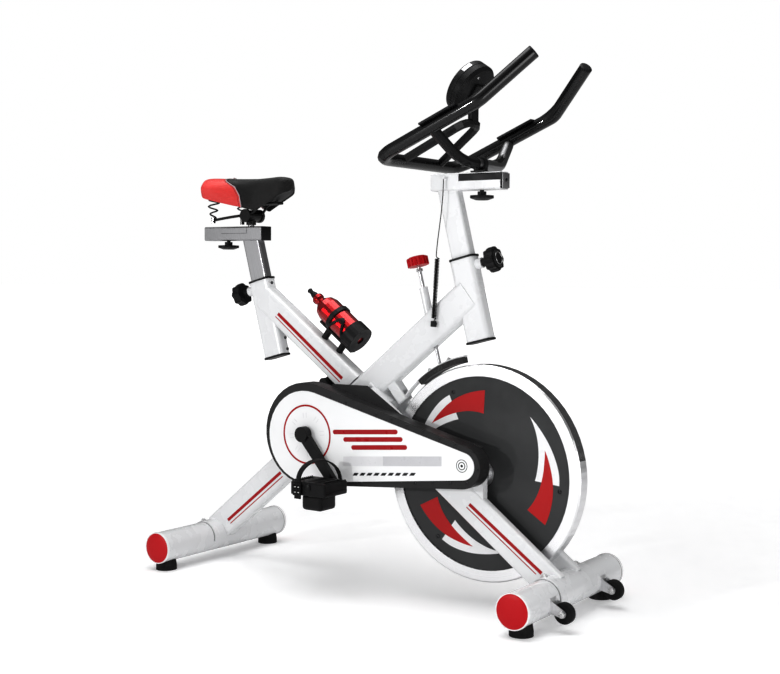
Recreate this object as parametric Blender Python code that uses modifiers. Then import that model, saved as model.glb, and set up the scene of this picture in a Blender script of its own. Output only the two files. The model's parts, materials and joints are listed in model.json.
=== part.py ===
"""Indoor spin bike: welded tube frame, belt drive, flywheel, saddle and handlebar on sliding posts.

Metres, +Z up, +X towards the front bar. Everything is laid out from the rear foot bar's axis
(x = 0) and the floor (z = 0), then hung on one empty that puts the origin under the bike's middle.
The drive side is -Y.
"""

import math

import bmesh
import bpy
from mathutils import Matrix, Vector

GAP = 0.0003
FINE = 0.00001
BAR_STEPS = 36
CAP_STEPS = 28

# Foot bars
MIDDLE_X = 0.52935
BAR_RADIUS = 0.038
BAR_WALL = 0.0025
BAR_HALF = 0.230
BAR_Z = 0.058
FRONT_BAR_X = 1.0115
CAP_THICK = 0.006
FOOT_RADIUS = 0.026
REAR_FOOT_Y = 0.197
FRONT_FOOT_Y = 0.190
WRAP_THICK = 0.003
REAR_WRAP_HALF = 0.060
FRONT_WRAP_HALF = 0.088
WRAP_FLOOR_Z = 0.050

# Frame beams, as (x, z) points on their centre lines
REAR_BEAM = ((0.0, 0.0713), (0.770, 0.7040))
REAR_BEAM_SIZE = (0.073, 0.040)
FRONT_BEAM = ((0.161, 0.6852), (0.471, 0.4585))
FRONT_BEAM_SIZE = (0.064, 0.040)
LEG = ((0.505, 0.4505), (1.0115, 0.0696))
LEG_DEPTH = 0.070
LEG_INNER_Y = 0.030
LEG_OUTER_Y = 0.052
BEAM_WALL = 0.002
CORNER = 0.009
CROWN_POINTS = ((0.487, 0.4640), (0.545, 0.4204))
CROWN_DEPTH = 0.062
DROPOUT_HALF = 0.024
DROPOUT_BASE_Z = 0.215

# Upright tubes, their sleeves and posts
SEAT_TOP = (0.144, 0.731)
SEAT_LEAN = math.radians(15.2)
SEAT_TUBE_LENGTH = 0.205
HEAD_TOP = (0.7475, 0.787)
HEAD_LEAN = math.radians(14.2)
HEAD_TUBE_LENGTH = 0.199
TUBE_SIZE = (0.062, 0.036)
TUBE_WALL = 0.0025
SLEEVE_THICK = 0.0019
SLEEVE_LENGTH = 0.070
COLLAR_THICK = 0.0047
COLLAR_LIP = 0.0015
POST_SIZE = (0.052, 0.026)
POST_WALL = 0.002
POST_DOWN = 0.115
BOSS_RADIUS = 0.012
BOSS_REACH = 0.046
PIN_RADIUS = 0.0045

# Rails on top of the posts, and what slides in them
RAIL_WIDTH = 0.038
RAIL_WALL = 0.0025
SEAT_RAIL = (-0.035, 0.158)
SEAT_RAIL_Z = (0.830, 0.866)
BAR_RAIL = (0.668, 0.851)
BAR_RAIL_Z = (0.938, 0.978)
SLOT_WIDTH = 0.018
SEAT_SLIDER = (-0.030, 0.120)
BAR_SLIDER = (0.690, 0.855)
STUB_RADIUS = 0.008
STUB_X = 0.109
STUB_TOP_Z = 0.884

# Knobs
KNOB_RADIUS = 0.028
KNOB_THICK = 0.022
KNOB_LOBES = 8
KNOB_LOBE_DEPTH = 0.004
SEAT_KNOB_Z = -0.0214
HEAD_KNOB_Z = -0.0242
KNOB_REACH = 0.0745
CLAMP_RADIUS = 0.0270
SEAT_CLAMP_X = 0.032
BAR_CLAMP_X = 0.794

# Flywheel
WHEEL = (0.811, 0.297)
WHEEL_RADIUS = 0.248
RIM_INNER = 0.221
RIM_HALF = 0.018
DISC_HALF = 0.0145
HUB_RADIUS = 0.030
AXLE_RADIUS = 0.008
SMALL_PULLEY = 0.0168
WHEEL_STEPS = 64

# Crank set, belt and guard
CRANK = (0.372, 0.362)
CRANK_LENGTH = 0.140
CRANK_ANGLE = math.radians(-50.0)
SPINDLE_RADIUS = 0.012
SPINDLE_END = 0.0085
SHELL_RADIUS = 0.022
SHELL_RIGHT = 0.056
SHELL_LEFT = 0.034
RIGHT_ARM_Y = 0.113
LEFT_ARM_Y = 0.085
ARM_THICK = 0.014
BIG_PULLEY = 4 * SMALL_PULLEY
BELT_Y = 0.0825
BELT_WIDTH = 0.012
BELT_THICK = 0.0022
GUARD_REAR = (0.368, 0.361, 0.124)
GUARD_FRONT = (0.806, 0.3200, 0.0485)
PLATE_REAR = (0.366, 0.3545, 0.1105)
PLATE_FRONT = (0.809, 0.3230, 0.031)
GUARD_BACK_Y = -0.0565
GUARD_FACE_Y = -0.0985
GUARD_SKIN = 0.0025
GUARD_STEPS = 20
PLATE_Y = (-0.1000, -0.0957)
COVER_RIDGE = (
    (0.396, 0.470),
    (0.420, 0.482),
    (0.520, 0.483),
    (0.623, 0.417),
    (0.728, 0.390),
    (0.836, 0.366),
)

# Pedals
PEDAL_SIZE = (0.100, 0.088, 0.032)
PEDAL_DROP = 0.004
PEDAL_BLOCK = (0.058, 0.060, 0.038)
PEDAL_OUT = 0.054
RIGHT_PEDAL_Y = RIGHT_ARM_Y + PEDAL_OUT
LEFT_PEDAL_Y = LEFT_ARM_Y + PEDAL_OUT
PEDAL_AXLE = 0.0062
LEFT_PEDAL_TILT = math.radians(-30.0)
STRAP_TURN = math.radians(58.0)
STRAP_HALF = 0.050
STRAP_RISE = 0.046
STRAP_THICK = 0.0028
STRAP_WIDTH = 0.024
STRAP_CLEARANCE = 0.0012
STRAP_TAIL = (0.018, 0.0030, 0.046)

# Saddle
SADDLE_REAR_X = -0.007
SADDLE_NOSE_X = 0.243
SADDLE_STATIONS = 12
RAIL_WIRE = 0.0035
CLAMP_Z = 0.893
SPRING_Y = 0.056
SPRING_LOW_Z = 0.881

# Handlebar
TUBE_RADIUS = 0.0145
STRUT_RADIUS = 0.0125
HOOP_RADIUS = 0.010
ARM_HALF_Y = 0.170
TIP = (0.987, 0.124, 1.212)
ARM_BEND = (0.885, 0.170, 1.115)
REAR_CORNER = (0.625, 0.170, 1.005)
STRUT_TOP = (0.768, 0.170, 1.062)
STRUT_LOW = (0.790, 0.085, 0.9965)
HOOP_FOOT = (0.632, 0.075, 1.008)
HOOP_TOP = (0.768, 0.030, 1.090)
PAD_SIZE = (0.100, 0.040, 0.006)
PAD_CENTRE = (0.790, 0.170, 1.0895)
CONSOLE_CENTRE = (0.762, 1.168)
CONSOLE_TILT = math.radians(-56.0)
CONSOLE_RADIUS = 0.062
CONSOLE_HALF = 0.018

# Tension knob and brake
TENSION_TOP = (0.622, 0.776)
TENSION_LEAN = math.radians(15.0)
ROD_RADIUS = 0.004
ROD_END = 0.2447
TENSION_TUBE = (0.062, 0.140)
PAD_ARC = (0.2545, 0.2680)
PAD_ANGLES = (13.0, 41.0)
LEVER_ARC = (0.2683, 0.2715)
LEVER_ANGLES = (12.0, 55.0)
LEVER_PIVOT = (0.5845, 0.4556)
LEVER_WIDTH = 0.019
LEVER_PIN = 0.003

# Bottle and cage, on a line parallel to the front beam
BOTTLE_BASE = (0.455, 0.587)
BOTTLE_TILT = math.radians(-52.6)
BOTTLE_RADIUS = 0.0315
CAGE_OUTER = 0.0355
CAGE_LENGTH = 0.120

# Transport wheels
ROLLER_X = 1.0770
ROLLER_Z = 0.0420
ROLLER_RADIUS = 0.023
ROLLER_HALF = 0.008
ROLLER_Y = 0.122
FORK_HALF = 0.0125

# Lead from the handlebar post to the frame
LEAD_Y = -0.0272
LEAD_RADIUS = 0.0014
COIL_RADIUS = 0.0058
COIL_TOP = (0.6935, 0.790)
COIL_BASE = (0.6850, 0.640)
LEAD_TOP = (0.7080, 0.9642)

RED = (0.50, 0.012, 0.018)
WHITE = (0.86, 0.86, 0.87)
BLACK = (0.012, 0.012, 0.013)
STEEL = (0.55, 0.55, 0.56)
MATERIALS = {
    "frame_white": (WHITE, 0.22, 0.0),
    "cap_red": (RED, 0.35, 0.0),
    "plastic_black": (BLACK, 0.38, 0.0),
    "rubber_black": (BLACK, 0.75, 0.0),
    "chrome": (STEEL, 0.18, 1.0),
    "steel": (STEEL, 0.38, 1.0),
    "disc_grey": ((0.035, 0.035, 0.037), 0.42, 0.0),
    "guard_white": (WHITE, 0.20, 0.0),
    "grip_black": (BLACK, 0.60, 0.0),
    "saddle_leather": ((0.02, 0.02, 0.02), 0.50, 0.0),
    "bottle_red": ((0.55, 0.010, 0.015), 0.22, 0.9),
    "felt_black": ((0.03, 0.03, 0.03), 0.95, 0.0),
}
SIDEWAYS = Matrix.Rotation(math.radians(90), 4, "X")
EMPTIES = {}


# ---------------------------------------------------------------- scene and placing


def clear_scene():
    for obj in list(bpy.data.objects):
        bpy.data.objects.remove(obj, do_unlink=True)


def new_collection(name):
    collection = bpy.data.collections.new(name)
    bpy.context.scene.collection.children.link(collection)
    return collection


def principled(slot):
    colour, roughness, metallic = MATERIALS[slot]
    material = bpy.data.materials.get(slot) or bpy.data.materials.new(slot)
    material.use_nodes = True
    shader = material.node_tree.nodes["Principled BSDF"]
    shader.inputs["Base Color"].default_value = (*colour, 1.0)
    shader.inputs["Roughness"].default_value = roughness
    shader.inputs["Metallic"].default_value = metallic
    return material


def at(x, y, z, tilt=0.0):
    """A place in the bike, turned by tilt about +Y."""
    return Matrix.Translation((x, y, z)) @ Matrix.Rotation(tilt, 4, "Y")


def along(start, end, y=0.0):
    """The middle of a line between two (x, z) points, with local Z along it, and its length."""
    dx = end[0] - start[0]
    dz = end[1] - start[1]
    middle = ((start[0] + end[0]) / 2, (start[1] + end[1]) / 2)
    return at(middle[0], y, middle[1], math.atan2(dx, dz)), math.hypot(dx, dz)


def add_empty(name, place):
    empty = bpy.data.objects.new(name, None)
    PARTS.objects.link(empty)
    empty.empty_display_size = 0.03
    EMPTIES[name] = place
    if name == "bike":
        empty.matrix_basis = place
        EMPTIES[name] = Matrix.Identity(4)
    else:
        empty.parent = bpy.data.objects["bike"]
        empty.matrix_basis = place
    return empty


def hang(obj, empty, place):
    """Puts obj at place, given in the bike's layout, under one of the empties."""
    obj.parent = bpy.data.objects[empty]
    obj.matrix_basis = EMPTIES[empty].inverted() @ place


def part(obj, slot, place, empty="bike"):
    """Makes obj a part of the bike, with its material and smooth round faces."""
    PARTS.objects.link(obj)
    hang(obj, empty, place)
    obj.data.materials.append(principled(slot))
    if obj.type == "MESH" and obj.data.polygons:
        obj.data.shade_smooth()
        obj.data.set_sharp_from_angle(angle=math.radians(35))
    return obj


def helper(obj, place, empty="bike"):
    """Makes obj a hidden tool that cuts or joins a part."""
    TOOLS.objects.link(obj)
    hang(obj, empty, place)
    obj.hide_render = True
    obj.display_type = "WIRE"
    return obj


def boolean(target, operation, tools):
    for tool in tools:
        modifier = target.modifiers.new(tool.name, "BOOLEAN")
        modifier.operation = operation
        modifier.object = tool
        modifier.solver = "EXACT"
    return target


def join(target, *tools):
    return boolean(target, "UNION", tools)


def carve(target, *tools):
    return boolean(target, "DIFFERENCE", tools)


def keep_inside(target, *tools):
    return boolean(target, "INTERSECT", tools)


# ---------------------------------------------------------------- shapes


def object_of(name, bm):
    mesh = bpy.data.meshes.new(name)
    bm.to_mesh(mesh)
    bm.free()
    return bpy.data.objects.new(name, mesh)


def block(name, size, radius=0.0, segments=2):
    bm = bmesh.new()
    bmesh.ops.create_cube(bm, size=1.0)
    bmesh.ops.scale(bm, vec=size, verts=bm.verts)
    obj = object_of(name, bm)
    if radius:
        bevel = obj.modifiers.new("rounded_edges", "BEVEL")
        bevel.width = radius
        bevel.segments = segments
    return obj


def cylinder(name, radius, length, segments=20):
    bm = bmesh.new()
    bmesh.ops.create_cone(
        bm, cap_ends=True, segments=segments, radius1=radius, radius2=radius, depth=length
    )
    return object_of(name, bm)


def mesh_of(curve_object):
    """The closed mesh object of a curve, with its caps welded on."""
    TOOLS.objects.link(curve_object)
    bpy.context.view_layer.update()
    evaluated = curve_object.evaluated_get(bpy.context.evaluated_depsgraph_get())
    mesh = bpy.data.meshes.new_from_object(evaluated)
    name = curve_object.name
    bpy.data.objects.remove(curve_object, do_unlink=True)
    bm = bmesh.new()
    bm.from_mesh(mesh)
    bmesh.ops.remove_doubles(bm, verts=bm.verts, dist=FINE)
    bmesh.ops.recalc_face_normals(bm, faces=bm.faces)
    bpy.data.meshes.remove(mesh)
    return object_of(name, bm)


def spline(curve, points, cyclic):
    line = curve.splines.new("POLY")
    line.points.add(len(points) - 1)
    for target, point in zip(line.points, points):
        target.co = (*point, 1.0)
    line.use_cyclic_u = cyclic


def plate(name, loops, thickness):
    """A flat outline, with any further loops as holes, centred on its own XY plane."""
    curve = bpy.data.curves.new(name, "CURVE")
    curve.dimensions = "2D"
    curve.fill_mode = "BOTH"
    curve.extrude = thickness / 2
    for loop in loops:
        spline(curve, [(x, y, 0.0) for x, y in loop], True)
    return mesh_of(bpy.data.objects.new(name, curve))


def tube_curve(name, points, radius, resolution=4):
    curve = bpy.data.curves.new(name, "CURVE")
    curve.dimensions = "3D"
    curve.bevel_depth = radius
    curve.bevel_resolution = resolution
    curve.use_fill_caps = True
    spline(curve, points, False)
    return bpy.data.objects.new(name, curve)


def tube(name, points, radius, resolution=4):
    return mesh_of(tube_curve(name, points, radius, resolution))


def turned(name, profile, steps=28, closed=False):
    """A profile of (radius, height) points, from top to bottom, turned about local Z."""
    bm = bmesh.new()
    verts = [bm.verts.new((radius, 0.0, height)) for radius, height in profile]
    pairs = list(zip(verts, verts[1:]))
    if closed:
        pairs.append((verts[-1], verts[0]))
    for pair in pairs:
        bm.edges.new(pair)
    obj = object_of(name, bm)
    screw = obj.modifiers.new("turned", "SCREW")
    screw.steps = steps
    screw.render_steps = steps
    screw.use_merge_vertices = True
    screw.merge_threshold = 0.0001
    screw.use_smooth_shade = True
    return obj


def ring(name, inner, outer, length, steps=28):
    half = length / 2
    profile = [(outer, half), (outer, -half), (inner, -half), (inner, half)]
    return turned(name, profile, steps, closed=True)


def loft(name, rings):
    """A closed solid through rings of equally many points."""
    bm = bmesh.new()
    loops = [[bm.verts.new(point) for point in points] for points in rings]
    count = len(loops[0])
    for near, far in zip(loops, loops[1:]):
        for i in range(count):
            j = (i + 1) % count
            bm.faces.new((near[i], near[j], far[j], far[i]))
    bm.faces.new(loops[0][::-1])
    bm.faces.new(loops[-1])
    bmesh.ops.recalc_face_normals(bm, faces=bm.faces)
    return object_of(name, bm)


def arc(centre, radius, start, end, steps):
    """Points of an arc, with its angles in degrees."""
    angles = [math.radians(start + (end - start) * i / steps) for i in range(steps + 1)]
    return [(centre[0] + radius * math.cos(a), centre[1] + radius * math.sin(a)) for a in angles]


def rounded_rectangle(depth, width, radius, steps=3):
    x = depth / 2 - radius
    y = width / 2 - radius
    corners = ((x, y, 0), (-x, y, 90), (-x, -y, 180), (x, -y, 270))
    return [p for cx, cy, a in corners for p in arc((cx, cy), radius, a, a + 90, steps)]


def capsule(first, second, steps=20):
    """The outline round two circles, each given as (x, y, radius)."""
    dx = second[0] - first[0]
    dy = second[1] - first[1]
    heading = math.degrees(math.atan2(dy, dx))
    spread = math.degrees(math.acos((first[2] - second[2]) / math.hypot(dx, dy)))
    back = arc(first[:2], first[2], heading + spread, heading + 360 - spread, steps)
    front = arc(second[:2], second[2], heading - spread, heading + spread, steps)
    return back + front


def grown(circle, extra):
    return (circle[0], circle[1], circle[2] + extra)


def box_tube(name, length, size, radius, wall=None):
    """A straight rounded box section along local Z, hollow where a wall is given."""
    loops = [rounded_rectangle(size[0], size[1], radius)]
    if wall:
        inner = max(radius - wall, 0.001)
        loops.append(rounded_rectangle(size[0] - 2 * wall, size[1] - 2 * wall, inner))
    return plate(name, loops, length)


def rounded_path(points, radius, steps=4):
    """A polyline through points with its inner corners rounded."""
    points = [Vector(p) for p in points]
    path = [points[0]]
    for before, corner, after in zip(points, points[1:], points[2:]):
        to_before = (before - corner).normalized()
        to_after = (after - corner).normalized()
        reach = min(radius, (before - corner).length * 0.45, (after - corner).length * 0.45)
        start = corner + to_before * reach
        end = corner + to_after * reach
        for i in range(steps + 1):
            t = i / steps
            path.append(start * (1 - t) ** 2 + corner * 2 * t * (1 - t) + end * t**2)
    path.append(points[-1])
    return path


def mirrored(point):
    return (point[0], -point[1], point[2])


def lobed(radius, lobes, depth, steps=4):
    count = lobes * steps
    outline = []
    for i in range(count):
        angle = 2 * math.pi * i / count
        reach = radius - depth * (0.5 - 0.5 * math.cos(lobes * angle))
        outline.append((reach * math.cos(angle), reach * math.sin(angle)))
    return outline


# ---------------------------------------------------------------- frame


def foot_bar(end, x, foot_y):
    """A round tube across the bike, its two end caps and its two rubber feet."""
    tube_half = BAR_HALF - CAP_THICK - GAP
    shell = ring(end + "_foot_bar", BAR_RADIUS - BAR_WALL, BAR_RADIUS, 2 * tube_half, BAR_STEPS)
    part(shell, "frame_white", at(x, 0, BAR_Z) @ SIDEWAYS)
    plug = BAR_RADIUS - BAR_WALL - GAP
    rim = BAR_RADIUS + 0.0012
    profile = [
        (0.0, CAP_THICK),
        (rim - 0.0025, CAP_THICK),
        (rim, CAP_THICK - 0.0020),
        (rim, 0.0),
        (plug, 0.0),
        (plug, -0.014),
        (0.0, -0.014),
    ]
    for side, sign in (("right", -1), ("left", 1)):
        cap = turned(f"{end}_cap_{side}", profile, CAP_STEPS)
        face_out = Matrix.Rotation(math.radians(-90 * sign), 4, "X")
        part(cap, "cap_red", at(x, sign * (BAR_HALF - CAP_THICK), BAR_Z) @ face_out)
        foot = turned(
            f"{end}_foot_{side}",
            [
                (0.0, 0.036),
                (FOOT_RADIUS - 0.004, 0.036),
                (FOOT_RADIUS, 0.010),
                (FOOT_RADIUS, 0.0),
                (0.0, 0.0),
            ],
            24,
        )
        part(foot, "rubber_black", at(x, sign * foot_y, 0))
        bed = helper(
            cylinder(foot.name + "_bed", BAR_RADIUS + GAP, 0.1, BAR_STEPS),
            at(x, sign * foot_y, BAR_Z) @ SIDEWAYS,
        )
        carve(foot, bed)


def wrap(name, half_width):
    """The plate bent over a foot bar's top, as an object still to be placed."""
    outer = BAR_RADIUS + GAP + WRAP_THICK
    return ring(name, BAR_RADIUS - BAR_WALL, outer, 2 * half_width, BAR_STEPS)


def wrap_floor(name, x):
    depth = 0.1
    floor = block(name, (0.2, 0.4, depth))
    return helper(floor, at(x, 0, WRAP_FLOOR_Z - depth / 2))


def bar_cutter(name, x, extra):
    return helper(cylinder(name, BAR_RADIUS + extra, 0.6, BAR_STEPS), at(x, 0, BAR_Z) @ SIDEWAYS)


def upright_place(top, lean):
    return at(top[0], 0, top[1], -lean)


def upright_envelope(name, top, lean, length):
    """The outside of an upright tube and its collar, grown by the gap."""
    size = (TUBE_SIZE[0] + 2 * GAP, TUBE_SIZE[1] + 2 * GAP)
    solid = box_tube(name, length + 0.02, size, CORNER)
    return helper(solid, upright_place(top, lean) @ Matrix.Translation((0, 0, -length / 2)))


def rear_beam():
    """The long beam from the head tube to the rear bar, with all that is welded on it."""
    place, length = along(*REAR_BEAM)
    beam = part(
        box_tube("rear_beam", length, REAR_BEAM_SIZE, CORNER, BEAM_WALL), "frame_white", place
    )
    saddle = helper(wrap("rear_wrap", REAR_WRAP_HALF), at(0, 0, BAR_Z) @ SIDEWAYS)
    carve(saddle, wrap_floor("rear_wrap_floor", 0))
    crown_place, crown_length = along(*CROWN_POINTS)
    crown_width = 2 * (LEG_INNER_Y - GAP)
    crown = helper(
        block("fork_crown", (CROWN_DEPTH, crown_width, crown_length), 0.003), crown_place
    )
    shell_middle = (SHELL_LEFT - SHELL_RIGHT) / 2
    shell = helper(
        cylinder("crank_shell", SHELL_RADIUS, SHELL_LEFT + SHELL_RIGHT, 24),
        at(CRANK[0], shell_middle, CRANK[1]) @ SIDEWAYS,
    )
    shell_bore = helper(
        cylinder("crank_shell_bore", SPINDLE_RADIUS + 0.0005, 0.2, 24),
        at(CRANK[0], 0, CRANK[1]) @ SIDEWAYS,
    )
    tension = tension_place()
    top, bottom = TENSION_TUBE
    guide = helper(
        cylinder("tension_guide", 0.0105, bottom - top, 24),
        tension @ Matrix.Translation((0, 0, -(top + bottom) / 2)),
    )
    guide_bore = helper(
        cylinder("tension_guide_bore", 0.0062, 0.22, 20),
        tension @ Matrix.Translation((0, 0, -0.155)),
    )
    pivot = at(LEVER_PIVOT[0], 0, LEVER_PIVOT[1], place.to_euler().y - math.radians(90))
    hanger = helper(
        block("brake_hanger", (0.026, 0.034, 0.0556), 0.003),
        pivot @ Matrix.Translation((0, 0, 0.0158)),
    )
    fork_slot = helper(block("brake_hanger_slot", (0.04, LEVER_WIDTH + 0.0016, 0.026)), pivot)
    pin = helper(cylinder("brake_hanger_pin", LEVER_PIN, 0.033, 20), pivot @ SIDEWAYS)
    join(beam, saddle, crown, shell, guide, hanger)
    head = upright_envelope("head_tube_outside", HEAD_TOP, HEAD_LEAN, HEAD_TUBE_LENGTH)
    carve(beam, shell_bore, guide_bore, fork_slot, head, bar_cutter("rear_bar_outside", 0, GAP))
    join(beam, pin)


def front_beam():
    """The short beam from the seat tube down to the rear beam's top."""
    place, length = along(*FRONT_BEAM)
    beam = part(
        box_tube("front_beam", length, FRONT_BEAM_SIZE, CORNER, BEAM_WALL), "frame_white", place
    )
    seat = upright_envelope("seat_tube_outside", SEAT_TOP, SEAT_LEAN, SEAT_TUBE_LENGTH)
    other_place, other_length = along(*REAR_BEAM)
    size = (REAR_BEAM_SIZE[0] + 2 * GAP, REAR_BEAM_SIZE[1] + 2 * GAP + 0.01)
    other = helper(box_tube("rear_beam_outside", other_length, size, CORNER), other_place)
    crown_place, crown_length = along(*CROWN_POINTS)
    crown = helper(
        block("crown_outside", (CROWN_DEPTH + 2 * GAP, 0.07, crown_length + 2 * GAP)), crown_place
    )
    carve(beam, seat, other, crown)


def fork_leg(side, sign):
    """One leg of the front fork, with the plate that carries the flywheel's axle."""
    middle_y = sign * (LEG_INNER_Y + LEG_OUTER_Y) / 2
    width = LEG_OUTER_Y - LEG_INNER_Y
    place, length = along(*LEG, y=middle_y)
    leg = part(
        box_tube(f"fork_leg_{side}", length, (LEG_DEPTH, width), 0.006, BEAM_WALL),
        "frame_white",
        place,
    )
    outline = [
        (WHEEL[0] + DROPOUT_HALF, DROPOUT_BASE_Z),
        *arc(WHEEL, DROPOUT_HALF, 0, 180, 12),
        (WHEEL[0] - DROPOUT_HALF, DROPOUT_BASE_Z + 0.036),
    ]
    dropout = helper(
        plate(f"dropout_{side}", [outline], width - 0.004), at(0, middle_y, 0) @ SIDEWAYS
    )
    hole = helper(
        cylinder(f"dropout_hole_{side}", AXLE_RADIUS + 0.0006, 0.1, 24),
        at(WHEEL[0], middle_y, WHEEL[1]) @ SIDEWAYS,
    )
    join(leg, dropout)
    carve(leg, hole, bar_cutter(f"front_wrap_outside_{side}", FRONT_BAR_X, WRAP_THICK + 2 * GAP))


def front_wrap():
    saddle = part(
        wrap("front_saddle", FRONT_WRAP_HALF),
        "frame_white",
        at(FRONT_BAR_X, 0, BAR_Z) @ SIDEWAYS,
    )
    carve(
        saddle,
        wrap_floor("front_wrap_floor", FRONT_BAR_X),
        bar_cutter("front_bar_outside", FRONT_BAR_X, GAP),
    )


def upright(end, top, lean, length, knob_z, knob_sign):
    """A leaning box tube with its top sleeve, bottom plug and the boss of its knob."""
    frame = upright_place(top, lean)
    body = length - 2 * COLLAR_THICK - 2 * GAP
    tube_name = end + "_tube"
    outer = part(
        box_tube(tube_name, body, TUBE_SIZE, CORNER, TUBE_WALL),
        "frame_white",
        frame @ Matrix.Translation((0, 0, -length / 2)),
    )
    turn = Matrix.Rotation(math.radians(90), 4, "Y")
    boss_inner = TUBE_SIZE[0] / 2 - TUBE_WALL
    boss_length = BOSS_REACH - boss_inner
    boss = helper(
        cylinder(end + "_boss", BOSS_RADIUS, boss_length, 24),
        frame
        @ Matrix.Translation((knob_sign * (boss_inner + boss_length / 2), 0, knob_z))
        @ turn,
    )
    join(outer, boss)
    sleeve_size = (TUBE_SIZE[0] - 2 * TUBE_WALL - 2 * GAP, TUBE_SIZE[1] - 2 * TUBE_WALL - 2 * GAP)
    sleeve = part(
        box_tube(end + "_sleeve", SLEEVE_LENGTH, sleeve_size, CORNER - TUBE_WALL),
        "plastic_black",
        frame @ Matrix.Translation((0, 0, -SLEEVE_LENGTH / 2)),
    )
    collar_size = (TUBE_SIZE[0] + 2 * COLLAR_LIP, TUBE_SIZE[1] + 2 * COLLAR_LIP)
    collar = helper(
        box_tube(end + "_collar", COLLAR_THICK, collar_size, CORNER),
        frame @ Matrix.Translation((0, 0, -COLLAR_THICK / 2)),
    )
    bore_size = (POST_SIZE[0] + 2 * GAP, POST_SIZE[1] + 2 * GAP)
    bore = helper(
        box_tube(end + "_sleeve_bore", SLEEVE_LENGTH + 0.02, bore_size, CORNER - TUBE_WALL - SLEEVE_THICK),
        frame @ Matrix.Translation((0, 0, -SLEEVE_LENGTH / 2)),
    )
    pin_hole = helper(
        cylinder(end + "_pin_hole", PIN_RADIUS + 0.0007, 0.06, 20),
        frame @ Matrix.Translation((knob_sign * 0.050, 0, knob_z)) @ turn,
    )
    join(sleeve, collar)
    carve(sleeve, bore, pin_hole)
    carve(outer, pin_hole)
    plug = part(
        box_tube(end + "_plug", 0.018, sleeve_size, CORNER - TUBE_WALL),
        "plastic_black",
        frame @ Matrix.Translation((0, 0, -length + 0.009)),
    )
    cover = helper(
        box_tube(end + "_plug_cover", COLLAR_THICK, collar_size, CORNER),
        frame @ Matrix.Translation((0, 0, -length + COLLAR_THICK / 2)),
    )
    join(plug, cover)


# ---------------------------------------------------------------- posts, rails, sliders, knobs


def rail_box(name, span, heights, inset, width):
    """A box along X between heights, shrunk by inset, as a helper."""
    size = (span[1] - span[0], width, heights[1] - heights[0] - 2 * inset)
    middle = at((span[0] + span[1]) / 2, 0, (heights[0] + heights[1]) / 2)
    return helper(block(name, size), middle)


def post(end, top, lean, span, heights, slot, finish, closed_front):
    """A leaning post with the slotted rail that is welded across its top."""
    frame = upright_place(top, lean)
    reach = (heights[0] + 0.012 - top[1]) / math.cos(lean)
    length = reach + POST_DOWN
    body = part(
        box_tube(end + "_post", length, POST_SIZE, CORNER - TUBE_WALL - SLEEVE_THICK, POST_WALL),
        finish,
        frame @ Matrix.Translation((0, 0, (reach - POST_DOWN) / 2)),
        end + "_height_axis",
    )
    rail_height = heights[1] - heights[0]
    rail_place = at((span[0] + span[1]) / 2, 0, (heights[0] + heights[1]) / 2, math.radians(90))
    rail = helper(
        box_tube(end + "_rail", span[1] - span[0], (rail_height, RAIL_WIDTH), 0.004), rail_place
    )
    front = span[1] - RAIL_WALL if closed_front else span[1] + 0.05
    inside = rail_box(
        end + "_rail_inside",
        (span[0] - 0.05, front),
        heights,
        RAIL_WALL,
        RAIL_WIDTH - 2 * RAIL_WALL,
    )
    slot_cut = rail_box(
        end + "_rail_slot", slot, (heights[1] - 0.008, heights[1] + 0.008), 0, SLOT_WIDTH
    )
    join(body, rail)
    carve(body, inside, slot_cut)
    return body


def slider_bar(name, span, heights, empty, slot):
    height = heights[1] - heights[0] - 2 * RAIL_WALL - 2 * GAP
    width = RAIL_WIDTH - 2 * RAIL_WALL - 2 * GAP
    bar = block(name, (span[1] - span[0], width, height), 0.0015, 1)
    place = at((span[0] + span[1]) / 2, 0, (heights[0] + heights[1]) / 2)
    return part(bar, slot, place, empty)


def seat_slider():
    bar = slider_bar("seat_slider", SEAT_SLIDER, SEAT_RAIL_Z, "seat_slide_axis", "steel")
    low = SEAT_RAIL_Z[1] - 0.012
    stub = helper(
        cylinder("saddle_stub", STUB_RADIUS, STUB_TOP_Z - low, 24),
        at(STUB_X, 0, (STUB_TOP_Z + low) / 2),
    )
    join(bar, stub)


def bar_slider():
    """The sliding bar with the ring that clamps the handlebar's cross strut."""
    bar = slider_bar("handlebar_slider", BAR_SLIDER, BAR_RAIL_Z, "handlebar_slide_axis", "plastic_black")
    x, _, z = STRUT_LOW
    low = BAR_RAIL_Z[1] - 0.012
    neck = helper(block("clamp_neck", (0.030, 0.012, z - low)), at(x, 0, (z + low) / 2))
    band = helper(
        cylinder("clamp_band", STRUT_RADIUS + 0.0045, 0.012, 32), at(x, 0, z) @ SIDEWAYS
    )
    foot = helper(block("clamp_plate", (0.034, 0.034, 0.0030)), at(x, 0, BAR_RAIL_Z[1] + 0.0020))
    bore = helper(cylinder("clamp_bore", STRUT_RADIUS + GAP, 0.05, 40), at(x, 0, z) @ SIDEWAYS)
    join(bar, neck, band, foot)
    carve(bar, bore)


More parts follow.
